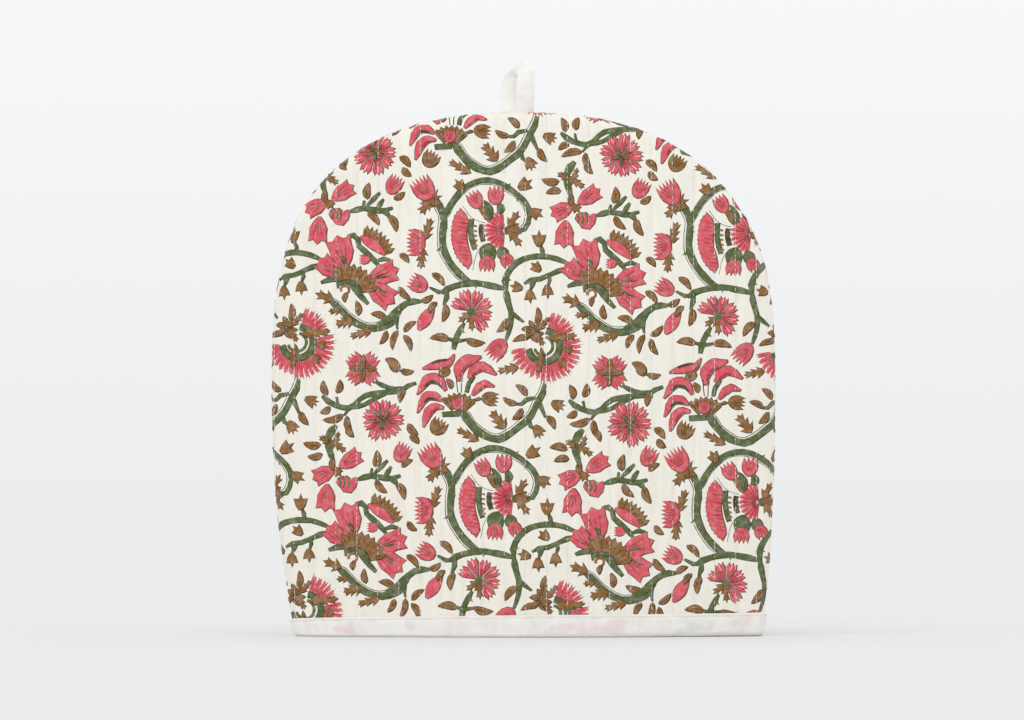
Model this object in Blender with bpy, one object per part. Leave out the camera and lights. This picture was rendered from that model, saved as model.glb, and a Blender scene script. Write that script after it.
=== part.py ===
# A quilted tea cosy that stands on its hem: two quilted cloth panels sewn together round an arch,
# a white binding folded over the open hem, and a white tape loop at the crown.
# Metres, +Z up. The hem rests on z = 0, the width runs along X, and the front faces -Y.

import math

import bmesh
import bpy
from mathutils import Vector
from mathutils.geometry import delaunay_2d_cdt, intersect_point_line

# The arch, seen from the front
CROWN_HEIGHT = 0.3170
BELLY_HALF = 0.1525
HEM_HALF = 0.1412
BELLY_HEIGHT = 0.150
DOME_RISE_POWER = 2.95
DOME_SIDE_POWER = 2.35
SKIRT_POWER = 2.2

# The middle of the arch wanders a little from side to side on its way up
CENTRE_LINE = (
    {"height": 0.000, "shift": 0.0028},
    {"height": 0.030, "shift": 0.0021},
    {"height": 0.085, "shift": 0.0005},
    {"height": 0.130, "shift": 0.0000},
    {"height": 0.225, "shift": -0.0001},
    {"height": 0.270, "shift": -0.0016},
    {"height": 0.330, "shift": -0.0022},
)

# The depth of the standing shell
BULGE = 0.0385
BULGE_POWER = 2.2
SEAM_ROLL = 0.0055
LEAST_ROLL = 0.0008
WALL = 0.0046
SEAM_GAP = 0.0003

# The quilting: upright rows of stitching that draw the padded cloth in
QUILT_PITCH = 0.0127
QUILT_DEPTH = 0.0011
QUILT_ROUNDNESS = 0.7
QUILT_FADE = (0.006, 0.014)
QUILT_HEM_FADE = (0.011, 0.019)

# Slow waves of the standing cloth: depth, width and height of one wave, and its phase, for each panel
WAVES = {
    "front": {"depth": 0.0012, "width": 0.118, "height": 0.190, "phase": 0.6},
    "back": {"depth": 0.0010, "width": 0.134, "height": 0.160, "phase": 2.3},
}

# The hem binding
BINDING_CLOTH = 0.0011
BINDING_GAP = 0.00085
BINDING_HEIGHT = 0.011
BINDING_INNER_HEIGHT = 0.0095
BINDING_EDGE = 0.0006
PANEL_FOOT = BINDING_CLOTH + 0.0006

# The hanging loop, a tape that rises behind, folds over at the point and comes down in front
TAPE_THICKNESS = 0.0014
LOOP_FOOT = 0.0004
LOOP_MIDDLE = -0.0040
MILLIMETRE = 0.001

# Sections of the loop from its left foot to its right one, in millimetres from the middle of the
# crown: the inner edge, the outer edge, and how far the tape stands in front of the seam
LOOP_SECTIONS = (
    {"inner": (-0.9, 0.0), "outer": (-10.6, 0.0), "front": -1.1},
    {"inner": (-0.8, 4.0), "outer": (-10.7, 4.0), "front": -2.5},
    {"inner": (-0.9, 8.0), "outer": (-10.7, 8.0), "front": -3.7},
    {"inner": (-1.2, 12.0), "outer": (-10.6, 12.0), "front": -4.2},
    {"inner": (-1.7, 16.0), "outer": (-10.2, 16.0), "front": -4.5},
    {"inner": (-2.3, 20.0), "outer": (-9.6, 20.0), "front": -4.2},
    {"inner": (-2.4, 22.0), "outer": (-8.7, 22.8), "front": -3.7},
    {"inner": (-2.0, 22.6), "outer": (-4.6, 25.6), "front": -2.7},
    {"inner": (-1.4, 22.6), "outer": (0.2, 28.8), "front": -1.4},
    {"inner": (-0.2, 22.6), "outer": (5.4, 31.9), "front": 0.2},
    {"inner": (0.6, 22.6), "outer": (8.4, 28.6), "front": 1.7},
    {"inner": (0.6, 21.6), "outer": (10.3, 25.0), "front": 3.2},
    {"inner": (0.0, 20.0), "outer": (10.6, 20.6), "front": 4.0},
    {"inner": (-0.4, 16.0), "outer": (10.6, 16.0), "front": 4.5},
    {"inner": (-0.6, 12.0), "outer": (10.6, 12.0), "front": 4.2},
    {"inner": (-0.7, 8.0), "outer": (10.5, 8.0), "front": 3.7},
    {"inner": (-0.8, 4.0), "outer": (10.4, 4.0), "front": 2.5},
    {"inner": (-0.9, 0.0), "outer": (10.3, 0.0), "front": 1.1},
)

# How finely the solids are cut
SEAM_POINTS = 120
QUILT_STEPS = 4
ROW_HEIGHT = 0.024
COLUMN_MARGIN = 0.0125
LEAST_ROW = 0.007
OUTER_RINGS = (0.0013, 0.0040, 0.0085)
INNER_RINGS = (0.0040,)
BINDING_STATIONS = 40
OUTLINE_STEPS = 600
HEIGHT_LEVELS = 160
SAME_POINT = 1e-7
SHARP_ANGLE = math.radians(50)
FAR = 1.0

PRINTED_COTTON = (0.80, 0.62, 0.55, 1.0)
WHITE_COTTON = (0.90, 0.89, 0.85, 1.0)


def clear_scene():
    for old in list(bpy.data.objects):
        bpy.data.objects.remove(old, do_unlink=True)


def cotton(name, colour):
    material = bpy.data.materials.new(name)
    material.use_nodes = True
    shader = material.node_tree.nodes["Principled BSDF"]
    shader.inputs["Base Color"].default_value = colour
    shader.inputs["Roughness"].default_value = 0.85
    shader.inputs["Metallic"].default_value = 0.0
    return material


def smooth_step(value, low, high):
    share = min(max((value - low) / (high - low), 0.0), 1.0)
    return share * share * (3.0 - 2.0 * share)


def half_width(z):
    """Half the width of the arch at a height: a tapering skirt below, a squarish dome above."""
    if z <= BELLY_HEIGHT:
        return BELLY_HALF - (BELLY_HALF - HEM_HALF) * (1.0 - z / BELLY_HEIGHT) ** SKIRT_POWER
    rise = min((z - BELLY_HEIGHT) / (CROWN_HEIGHT - BELLY_HEIGHT), 1.0)
    return BELLY_HALF * (1.0 - rise**DOME_RISE_POWER) ** (1.0 / DOME_SIDE_POWER)


def centre_shift(z):
    for low, high in zip(CENTRE_LINE, CENTRE_LINE[1:]):
        if z <= high["height"]:
            share = smooth_step(z, low["height"], high["height"])
            return low["shift"] + (high["shift"] - low["shift"]) * share
    return CENTRE_LINE[-1]["shift"]


def bulge_at(z):
    return BULGE * (1.0 - min(z / CROWN_HEIGHT, 1.0) ** BULGE_POWER)


def quilting(x, z, edge):
    """How far the stitched rows draw the outer face in: nothing on a crest, QUILT_DEPTH on a row."""
    crest = abs(math.sin(math.pi * x / QUILT_PITCH)) ** QUILT_ROUNDNESS
    strength = smooth_step(edge, *QUILT_FADE) * smooth_step(z, *QUILT_HEM_FADE)
    return QUILT_DEPTH * strength * (1.0 - crest)


def wave(x, z, panel):
    form = WAVES[panel]
    across = math.sin(2.0 * math.pi * x / form["width"] + form["phase"])
    return form["depth"] * across * math.sin(math.pi * z / form["height"]) * bulge_at(z) / BULGE


def shell_point(x, z, edge, inset, panel):
    """A point of the standing shell. x and z lie in the arch, edge is their distance from its
    outline, and inset is how far the surface lies inside the outer face."""
    width_share = (BELLY_HALF - inset) / BELLY_HALF
    height_share = (CROWN_HEIGHT - inset - PANEL_FOOT) / (CROWN_HEIGHT - PANEL_FOOT)
    roll = max(SEAM_ROLL - inset, LEAST_ROLL)
    depth = SEAM_ROLL + bulge_at(z) - inset - roll
    rolled = math.sqrt(1.0 - (1.0 - min(edge / SEAM_ROLL, 1.0)) ** 2)
    crown = 1.0 - min(abs(x) / max(half_width(z), abs(x), 1e-9), 1.0) ** 2
    y = roll * rolled + (depth + wave(x, z, panel)) * crown
    side = -1.0 if panel == "front" else 1.0
    place_z = PANEL_FOOT + (z - PANEL_FOOT) * height_share
    return Vector((x * width_share + centre_shift(z), side * (y + SEAM_GAP / 2.0), place_z))


def arch_outline(count):
    """Evenly spaced points along the sewn edge, from the left of the hem over the crown to its right."""
    fine = []
    for i in range(OUTLINE_STEPS + 1):
        z = PANEL_FOOT + (BELLY_HEIGHT - PANEL_FOOT) * i / OUTLINE_STEPS
        fine.append(Vector((-half_width(z), z)))
    for i in range(1, OUTLINE_STEPS + 1):
        turn = 0.5 * math.pi * i / OUTLINE_STEPS
        fine.append(
            Vector(
                (
                    -BELLY_HALF * max(math.cos(turn), 0.0) ** (2.0 / DOME_SIDE_POWER),
                    BELLY_HEIGHT + (CROWN_HEIGHT - BELLY_HEIGHT) * math.sin(turn) ** (2.0 / DOME_RISE_POWER),
                )
            )
        )
    fine[-1].x = 0.0
    fine += [Vector((-p.x, p.y)) for p in reversed(fine[:-1])]
    along = [0.0]
    for a, b in zip(fine, fine[1:]):
        along.append(along[-1] + (b - a).length)
    points = []
    segment = 0
    for i in range(count + 1):
        target = along[-1] * i / count
        while segment < len(fine) - 2 and along[segment + 1] < target:
            segment += 1
        share = (target - along[segment]) / max(along[segment + 1] - along[segment], 1e-12)
        points.append(fine[segment].lerp(fine[segment + 1], min(share, 1.0)))
    return points


def inward_normals(points):
    normals = []
    for i in range(len(points)):
        tangent = points[min(i + 1, len(points) - 1)] - points[max(i - 1, 0)]
        normals.append(Vector((tangent.y, -tangent.x)).normalized())
    return normals


def edge_distance(x, z, outline):
    here = Vector((x, z))
    best = FAR
    for a, b in zip(outline, outline[1:]):
        nearest, share = intersect_point_line(here, a, b)
        nearest = a if share < 0.0 else b if share > 1.0 else nearest
        best = min(best, (here - nearest.to_2d()).length)
    return best


def column_rows(x, outline):
    """The heights of the points on one upright line of the cloth, clear of the sewn edge."""
    heights = []
    for i in range(HEIGHT_LEVELS + 1):
        z = PANEL_FOOT + (CROWN_HEIGHT - PANEL_FOOT) * i / HEIGHT_LEVELS
        if abs(x) < half_width(z) and edge_distance(x, z, outline) >= COLUMN_MARGIN:
            heights.append(z)
    if not heights:
        return []
    low, high = heights[0], heights[-1]
    rows = [low]
    step = 1
    while step * ROW_HEIGHT + PANEL_FOOT < high - LEAST_ROW:
        z = PANEL_FOOT + step * ROW_HEIGHT
        if z > low + LEAST_ROW:
            rows.append(z)
        step += 1
    if high - low > LEAST_ROW:
        rows.append(high)
    return rows


def cut_cloth(outline, rings, steps_per_row):
    """The flat pattern of a panel as (points with their edge distance, triangles, rim). The rim lists
    the sewn edge and then the hem, right to left."""
    normals = inward_normals(outline)
    points = [(p.x, p.y, 0.0) for p in outline]
    hem_right = []
    hem_left = []
    lines = []
    for ring in rings:
        first = len(points)
        for p, n in zip(outline, normals):
            moved = p + n * ring
            points.append((moved.x, moved.y, ring))
        last = len(points) - 1
        points[first] = (points[first][0], PANEL_FOOT, ring)
        points[last] = (points[last][0], PANEL_FOOT, ring)
        hem_left.append(first)
        hem_right.append(last)
        lines += [(i, i + 1) for i in range(first, last)]
    step = QUILT_PITCH / steps_per_row
    count = int(1.1 * BELLY_HALF / step)
    hem_middle = []
    for j in range(-count, count + 1):
        rows = column_rows(j * step, outline)
        line = []
        for z in rows:
            line.append(len(points))
            points.append((j * step, z, FAR))
        if rows and rows[0] == PANEL_FOOT:
            hem_middle.append(line[0])
        lines += list(zip(line, line[1:]))
    hem = hem_right + hem_middle[::-1] + hem_left[::-1]
    rim = list(range(len(outline))) + hem
    edges = lines + list(zip(rim, rim[1:] + rim[:1]))
    flat = [Vector((x, z)) for x, z, _ in points]
    cut = delaunay_2d_cdt(flat, edges, [], 1, SAME_POINT)
    source = [ids[0] for ids in cut[3]]
    triangles = [[source[i] for i in face] for face in cut[2]]
    return points, triangles, rim


def new_object(name, mesh_builder, material):
    made = bmesh.new()
    mesh_builder(made)
    bmesh.ops.recalc_face_normals(made, faces=made.faces)
    mesh = bpy.data.meshes.new(name)
    made.to_mesh(mesh)
    made.free()
    mesh.materials.append(material)
    mesh.shade_smooth()
    mesh.set_sharp_from_angle(angle=SHARP_ANGLE)
    obj = bpy.data.objects.new(name, mesh)
    bpy.context.scene.collection.objects.link(obj)
    return obj


def quilted_panel(name, panel, material):
    """One padded panel: a quilted outer face, a plain inner face, and the cut edge between them."""
    outline = arch_outline(SEAM_POINTS)
    outer_points, outer_faces, outer_rim = cut_cloth(outline, OUTER_RINGS, QUILT_STEPS)
    side = -1.0 if panel == "front" else 1.0

    def build(made):
        outer = []
        for x, z, edge in outer_points:
            place = shell_point(x, z, edge, 0.0, panel)
            place.y -= side * quilting(x, z, edge)
            outer.append(made.verts.new(place))
        for face in outer_faces:
            made.faces.new([outer[i] for i in face])
        # the inner face has the outer one's rim, and fewer points inside it
        inner_flat = [outer_points[i] for i in outer_rim]
        ring_points, _, ring_rim = cut_cloth(outline, INNER_RINGS, 1)
        inner_flat += [p for i, p in enumerate(ring_points) if i not in set(ring_rim)]
        rim_count = len(outer_rim)
        rim_edges = [(i, (i + 1) % rim_count) for i in range(rim_count)]
        flat = [Vector((x, z)) for x, z, _ in inner_flat]
        cut = delaunay_2d_cdt(flat, rim_edges, [], 1, SAME_POINT)
        source = [ids[0] for ids in cut[3]]
        inner = [made.verts.new(shell_point(x, z, edge, WALL, panel)) for x, z, edge in inner_flat]
        for face in cut[2]:
            made.faces.new([inner[source[i]] for i in reversed(face)])
        for a, b in rim_edges:
            made.faces.new((outer[outer_rim[a]], outer[outer_rim[b]], inner[b], inner[a]))

    return new_object(name, build, material)


def binding_profile():
    """The folded binding in section, as (inset from the panel's outer face, height) in order."""
    outside = -(BINDING_GAP + BINDING_CLOTH)
    inside = WALL + BINDING_GAP + BINDING_CLOTH
    return [
        (outside + BINDING_EDGE, 0.0),
        (outside, BINDING_EDGE),
        (outside, BINDING_HEIGHT - BINDING_EDGE),
        (outside + BINDING_EDGE, BINDING_HEIGHT),
        (-BINDING_GAP, BINDING_HEIGHT),
        (-BINDING_GAP, BINDING_CLOTH),
        (WALL + BINDING_GAP, BINDING_CLOTH),
        (WALL + BINDING_GAP, BINDING_INNER_HEIGHT),
        (inside, BINDING_INNER_HEIGHT),
        (inside, BINDING_EDGE),
        (inside - BINDING_EDGE, 0.0),
    ]


def hem_binding(name, material):
    """One strip round the whole mouth, folded under the panels' hem."""

    def build(made):
        sections = []
        stations = [("front", 2.0 * i / BINDING_STATIONS - 1.0) for i in range(BINDING_STATIONS + 1)]
        stations += [("back", 1.0 - 2.0 * i / BINDING_STATIONS) for i in range(1, BINDING_STATIONS)]
        for panel, share in stations:
            section = []
            for inset, z in binding_profile():
                x = half_width(z) * math.sin(0.5 * math.pi * share)
                place = shell_point(x, z, half_width(z) - abs(x), inset, panel)
                place.z = z
                section.append(made.verts.new(place))
            sections.append(section)
        for a, b in zip(sections, sections[1:] + sections[:1]):
            for i in range(len(a)):
                j = (i + 1) % len(a)
                made.faces.new((a[i], a[j], b[j], b[i]))

    return new_object(name, build, material)


def hanging_loop(name, material):
    """A folded tape loop that stands on the crown, with an eye between its two legs."""
    foot = CROWN_HEIGHT + LOOP_FOOT

    def corner(place, front, thick):
        x, z = place
        return Vector((LOOP_MIDDLE + x * MILLIMETRE, thick - front * MILLIMETRE, foot + z * MILLIMETRE))

    def build(made):
        half = TAPE_THICKNESS / 2.0
        sections = []
        for row in LOOP_SECTIONS:
            corners = (
                corner(row["inner"], row["front"], -half),
                corner(row["outer"], row["front"], -half),
                corner(row["outer"], row["front"], half),
                corner(row["inner"], row["front"], half),
            )
            sections.append([made.verts.new(c) for c in corners])
        for a, b in zip(sections, sections[1:]):
            for i in range(4):
                j = (i + 1) % 4
                made.faces.new((a[i], a[j], b[j], b[i]))
        made.faces.new(sections[0][::-1])
        made.faces.new(sections[-1])

    return new_object(name, build, material)


def main():
    clear_scene()
    printed = cotton("printed_cotton", PRINTED_COTTON)
    white = cotton("white_cotton", WHITE_COTTON)
    tape = cotton("white_tape", WHITE_COTTON)
    quilted_panel("front_panel", "front", printed)
    quilted_panel("back_panel", "back", printed.copy())
    hem_binding("hem_binding", white)
    hanging_loop("hanging_loop", tape)


main()
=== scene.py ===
import math
import random

import bmesh
import bpy
import numpy as np
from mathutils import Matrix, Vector
from mathutils.geometry import delaunay_2d_cdt


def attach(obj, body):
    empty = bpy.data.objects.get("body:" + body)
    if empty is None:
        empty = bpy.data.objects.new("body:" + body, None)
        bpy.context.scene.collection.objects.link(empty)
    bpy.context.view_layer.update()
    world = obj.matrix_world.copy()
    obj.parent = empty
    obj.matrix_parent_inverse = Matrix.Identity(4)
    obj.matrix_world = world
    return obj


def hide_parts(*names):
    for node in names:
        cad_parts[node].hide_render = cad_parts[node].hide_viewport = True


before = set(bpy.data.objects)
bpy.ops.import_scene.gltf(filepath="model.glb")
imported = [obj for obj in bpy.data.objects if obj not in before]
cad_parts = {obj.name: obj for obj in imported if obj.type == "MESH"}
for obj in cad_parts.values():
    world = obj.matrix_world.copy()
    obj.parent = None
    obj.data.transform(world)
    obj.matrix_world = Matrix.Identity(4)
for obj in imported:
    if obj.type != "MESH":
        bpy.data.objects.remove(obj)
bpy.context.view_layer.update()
print("frame loaded")

# the cosy's form, by the same rule as the solids in the frame, in metres
form = {
    "crownHeight": 0.3170,
    "bellyHalf": 0.1525,
    "hemHalf": 0.1412,
    "bellyHeight": 0.150,
    "risePower": 2.95,
    "sidePower": 2.35,
    "skirtPower": 2.2,
    "foot": 0.0017,
    "bulge": 0.0385,
    "bulgePower": 2.2,
    "roll": 0.0055,
    "leastRoll": 0.0008,
    "wall": 0.0046,
    # the middle of the arch wanders sideways: height, shift
    "centreLine": (
        (0.000, 0.0028),
        (0.030, 0.0021),
        (0.085, 0.0005),
        (0.130, 0.0000),
        (0.225, -0.0001),
        (0.270, -0.0016),
        (0.330, -0.0022),
    ),
    # slow waves of the standing cloth: depth, width, height, phase
    "waves": {1: (0.0012, 0.118, 0.190, 0.6), -1: (0.0010, 0.134, 0.160, 2.3)},
}

panels = {
    "seamPoints": 240,
    "seamGap": 0.00008,
    "seamDip": 0.0006,  # how far the sewn edge sinks between the two panels
    "seamDipWidth": 0.0016,
    "pucker": 0.00022,
    "puckerSlant": (1.9, 2.3),  # how the puckers run over the cloth
    "puckerWaves": ((1.0, 431.0, 0.0), (0.6, 713.0, 1.3), (0.5, 1103.0, 0.4)),  # size, rate, phase
    "puckerReach": (0.0005, 0.010),
    "puckerFoot": (0.012, 0.02),
    "quiltPitch": 0.0127,
    "quiltPhase": 0.0010,
    "quiltDepth": 0.0011,
    "quiltRoundness": 0.7,
    "quiltWaves": ((0.22, 95.0, 60.0, 0.0), (0.14, 211.0, -130.0, 1.0)),  # size, rates up and across, phase
    "quiltSeamFade": (0.002, 0.008),
    "quiltHemFade": (0.009, 0.018),
    "liningQuilt": 0.0007,
    "columnsPerRow": 8,
    "rowStep": 0.0040,
    "ringDepths": (0.0008, 0.0022, 0.0044, 0.0066),
    "gridMargin": 0.0086,
    "clothTop": 0.33,
    "hemStep": 0.003,
    "hemMargin": 0.0008,
    "liningStep": 0.0070,
    "liningRing": 0.0018,
    "liningMargin": 0.0035,
}

quarter = 0.5 * math.pi * form["roll"]  # cloth used up by the roll at the seam


def smoothStep(value, low, high):
    share = np.clip((np.asarray(value, float) - low) / (high - low), 0.0, 1.0)
    return share * share * (3.0 - 2.0 * share)


def halfWidth(z):
    z = np.asarray(z, float)
    belly = form["bellyHeight"]
    low = np.clip(1.0 - z / belly, 0.0, None)
    skirt = form["bellyHalf"] - (form["bellyHalf"] - form["hemHalf"]) * low ** form["skirtPower"]
    rise = np.clip((z - belly) / (form["crownHeight"] - belly), 0.0, 1.0)
    dome = form["bellyHalf"] * (1.0 - rise ** form["risePower"]) ** (1.0 / form["sidePower"])
    return np.where(z <= belly, skirt, dome)


def centreShift(z):
    z = np.asarray(z, float)
    line = form["centreLine"]
    shift = np.full(z.shape, line[0][1])
    for (lowZ, lowShift), (highZ, highShift) in zip(line, line[1:]):
        shift = np.where(z > lowZ, lowShift + (highShift - lowShift) * smoothStep(z, lowZ, highZ), shift)
    return shift


def bulgeAt(z):
    rise = np.clip(np.asarray(z, float) / form["crownHeight"], 0.0, 1.0)
    return form["bulge"] * (1.0 - rise ** form["bulgePower"])


def waveAt(x, z, side):
    depth, width, height, phase = form["waves"][side]
    across = np.sin(2.0 * math.pi * x / width + phase)
    return depth * across * np.sin(math.pi * z / height) * bulgeAt(z) / form["bulge"]


def crownShare(xs, z):
    return 1.0 - np.clip(np.abs(xs) / np.maximum(np.maximum(halfWidth(z), np.abs(xs)), 1e-9), 0.0, 1.0) ** 2


# One panel is worked out in its own frame: x runs to the right as the maker looks at its face.
# side is 1 for the front panel and -1 for the back one.
def archLine(count, side):
    turn = np.linspace(0.0, 0.5 * math.pi, 900)
    skirt = np.linspace(form["foot"], form["bellyHeight"], 500)
    rise = form["crownHeight"] - form["bellyHeight"]
    left = np.concatenate((
        np.c_[-halfWidth(skirt), skirt],
        np.c_[
            -form["bellyHalf"] * np.clip(np.cos(turn), 0.0, 1.0) ** (2.0 / form["sidePower"]),
            form["bellyHeight"] + rise * np.sin(turn) ** (2.0 / form["risePower"]),
        ][1:],
    ))
    left[-1, 0] = 0.0
    line = np.concatenate((left, left[-2::-1] * (-1.0, 1.0)))
    line[:, 0] += side * centreShift(line[:, 1])
    along = np.r_[0.0, np.cumsum(np.linalg.norm(np.diff(line, axis=0), axis=1))]
    at = np.linspace(0.0, along[-1], count)
    return np.c_[np.interp(at, along, line[:, 0]), np.interp(at, along, line[:, 1])]


def outwards(line):
    along = np.gradient(line, axis=0)
    along /= np.linalg.norm(along, axis=1, keepdims=True)
    return np.c_[-along[:, 1], along[:, 0]]


def offsetLine(line, distance):
    moved = line + outwards(line) * distance
    moved[0, 1] = moved[-1, 1] = form["foot"]
    return moved


def extended(line, reach=0.03):
    first = line[0] + (line[0] - line[1]) / np.linalg.norm(line[0] - line[1]) * reach
    last = line[-1] + (line[-1] - line[-2]) / np.linalg.norm(line[-1] - line[-2]) * reach
    return np.concatenate(([first], line, [last]))


def edgeOf(points, line):
    # distance inside the line, and the unit vector that leads out over it
    points = np.asarray(points, float)
    a = line[:-1]
    step = line[1:] - a
    length = np.sum(step * step, axis=1)
    normal = outwards(line)
    away = np.empty(len(points))
    out = np.empty((len(points), 2))
    for start in range(0, len(points), 4000):
        p = points[start:start + 4000]
        rel = p[:, None, :] - a[None]
        share = np.clip(np.sum(rel * step[None], axis=2) / length[None], 0.0, 1.0)
        gap = rel - share[:, :, None] * step[None]
        best = np.argmin(np.sum(gap * gap, axis=2), axis=1)
        rows = np.arange(len(p))
        s = share[rows, best][:, None]
        n = normal[best] * (1.0 - s) + normal[best + 1] * s
        n /= np.linalg.norm(n, axis=1, keepdims=True)
        away[start:start + 4000] = -np.sum(gap[rows, best] * n, axis=1)
        out[start:start + 4000] = n
    return away, out


class Panel:
    def __init__(self, side):
        self.side = side
        self.outline = archLine(panels["seamPoints"], side)
        self.cutLine = offsetLine(self.outline, quarter - form["roll"])
        self.farLine = extended(self.cutLine)
        self.farOutline = extended(self.outline)

    def flat(self, cloth):
        # where a point of the cloth is seen from straight in front
        away, out = edgeOf(cloth, self.farLine)
        spent = np.clip(quarter - away, 0.0, quarter + 0.002)
        turn = np.minimum(spent / form["roll"], 0.5 * math.pi)
        place = cloth - out * (spent - form["roll"] * np.sin(turn))[:, None]
        return place, away, out, turn

    def face(self, cloth, lift=0.0, relief=1.0):
        # the outer face of the padded cloth
        cloth = np.asarray(cloth, float)
        place, away, out, turn = self.flat(cloth)
        z = place[:, 1]
        xs = place[:, 0] - self.side * centreShift(z)
        bowed = (bulgeAt(z) + waveAt(self.side * xs, z, self.side)) * crownShare(xs, z)
        y = form["roll"] * np.cos(turn) + bowed
        sunk = self.quilting(cloth[:, 0], cloth[:, 1], away, panels["quiltDepth"]) * relief
        sunk += panels["seamDip"] * (1.0 - smoothStep(away, 0.0, panels["seamDipWidth"]))
        along = cloth[:, 0] * panels["puckerSlant"][0] + cloth[:, 1] * panels["puckerSlant"][1]
        ripple = sum(size * np.sin(along * rate + phase) for size, rate, phase in panels["puckerWaves"])
        nearSeam = 1.0 - smoothStep(away, *panels["puckerReach"])
        sunk += panels["pucker"] * ripple * nearSeam * smoothStep(z, *panels["puckerFoot"])
        sunk -= lift
        place = place - out * (sunk * np.sin(turn))[:, None]
        y = y - sunk * np.cos(turn)
        return self.stand(place[:, 0], y, place[:, 1])

    def lining(self, place, edge):
        # the inner face, which the wall's thickness parts from the outer one
        z = place[:, 1]
        xs = place[:, 0] - self.side * centreShift(z)
        inset = form["wall"]
        crown = form["crownHeight"]
        roll = max(form["roll"] - inset, form["leastRoll"])
        depth = form["roll"] + bulgeAt(z) - inset - roll
        rolled = np.sqrt(1.0 - (1.0 - np.clip(edge / form["roll"], 0.0, 1.0)) ** 2)
        y = roll * rolled + (depth + waveAt(self.side * xs, z, self.side)) * crownShare(xs, z)
        y += self.quilting(place[:, 0], z, edge, panels["liningQuilt"])
        x = xs * (form["bellyHalf"] - inset) / form["bellyHalf"] + self.side * centreShift(z)
        upper = form["foot"] + (z - form["foot"]) * (crown - inset - form["foot"]) / (crown - form["foot"])
        return self.stand(x, y, upper)

    def quilting(self, x, z, away, depth):
        rowTurn = math.pi * (x - panels["quiltPhase"]) / panels["quiltPitch"]
        crest = np.abs(np.sin(rowTurn)) ** panels["quiltRoundness"]
        uneven = 1.0
        for size, upwards, across, phase in panels["quiltWaves"]:
            uneven = uneven + size * np.sin(z * upwards + x * across + phase)
        strength = smoothStep(away, *panels["quiltSeamFade"]) * smoothStep(z, *panels["quiltHemFade"])
        return depth * strength * uneven * (1.0 - crest)

    def stand(self, x, y, z):
        return np.c_[self.side * x, -self.side * (y + panels["seamGap"]), z]


# The printed cotton. The print is a climbing flower stem in four colours, drawn here on a chart whose
# unit is about a tenth of a millimetre of cloth, x to the right and y down, and stepped over the cloth.
chart = {
    "unit": 0.00010033,
    "origin": (-0.0838, 0.28496),
    "acrossStep": (1483.0, 24.0),
    "downStep": (48.0, 1610.0),
    "backOrigin": (-0.0445, 0.3600),  # the back panel is cut from another place of the cloth
    "lineGrow": 6.4,
    "linePull": (2.6, 1.8),  # the outline block sits a little off the colour blocks
    "stemFill": 0.48,
    "stemLine": 4.6,
    "shadowGap": 9.0,
    "shadowWidth": 5.0,
    "wobble": 1.6,
}

inks = {
    "pink": (219, 84, 97),
    "pinkDeep": (172, 50, 64),
    "green": (86, 99, 53),
    "ochre": (142, 96, 42),
    "lineGreen": (60, 70, 44),
    "lineOchre": (78, 58, 32),
    "linePink": (112, 68, 56),
}


bareCloth = None  # a shape of no ink leaves the cloth unprinted


def linear(colour):
    return tuple((c / 255.0 / 12.92) if c <= 10 else ((c / 255.0 + 0.055) / 1.055) ** 2.4 for c in colour)


def spline(points, step=20.0):
    pts = [np.array(p, float) for p in points]
    ends = [2 * pts[0] - pts[1]] + pts + [2 * pts[-1] - pts[-2]]
    path = []
    for a, b, c, d in zip(ends, ends[1:], ends[2:], ends[3:]):
        count = max(2, int(np.linalg.norm(c - b) / step))
        for i in range(count):
            t = i / count
            bend = (2 * a - 5 * b + 4 * c - d) * t * t + (3 * b - a - 3 * c + d) * t**3
            path.append(0.5 * (2 * b + (c - a) * t + bend))
    path.append(pts[-1])
    return np.array(path)


def sidesOf(path):
    along = np.gradient(path, axis=0)
    along /= np.maximum(np.linalg.norm(along, axis=1, keepdims=True), 1e-9)
    return np.c_[along[:, 1], -along[:, 0]]


def ribbon(path, left, right):
    path = np.asarray(path, float)
    normal = sidesOf(path)
    n = len(path)
    left = np.broadcast_to(left, n).reshape(n, 1)
    right = np.broadcast_to(right, n).reshape(n, 1)
    return np.concatenate((path + normal * left, (path - normal * right)[::-1]))


def grown(points, amount):
    a = points - np.roll(points, 1, 0)
    b = np.roll(points, -1, 0) - points
    a /= np.maximum(np.linalg.norm(a, axis=1, keepdims=True), 1e-9)
    b /= np.maximum(np.linalg.norm(b, axis=1, keepdims=True), 1e-9)
    along = a + b
    along /= np.maximum(np.linalg.norm(along, axis=1, keepdims=True), 1e-9)
    normal = np.c_[along[:, 1], -along[:, 0]]
    x, y = points[:, 0], points[:, 1]
    area = 0.5 * np.sum(x * np.roll(y, -1) - np.roll(x, -1) * y)
    return points + normal * amount * (1.0 if area > 0 else -1.0)


def placed(points, at, turn=0.0, size=1.0):
    c, s = math.cos(turn), math.sin(turn)
    p = np.asarray(points, float) * size
    return np.c_[p[:, 0] * c - p[:, 1] * s, p[:, 0] * s + p[:, 1] * c] + np.asarray(at, float)


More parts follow.
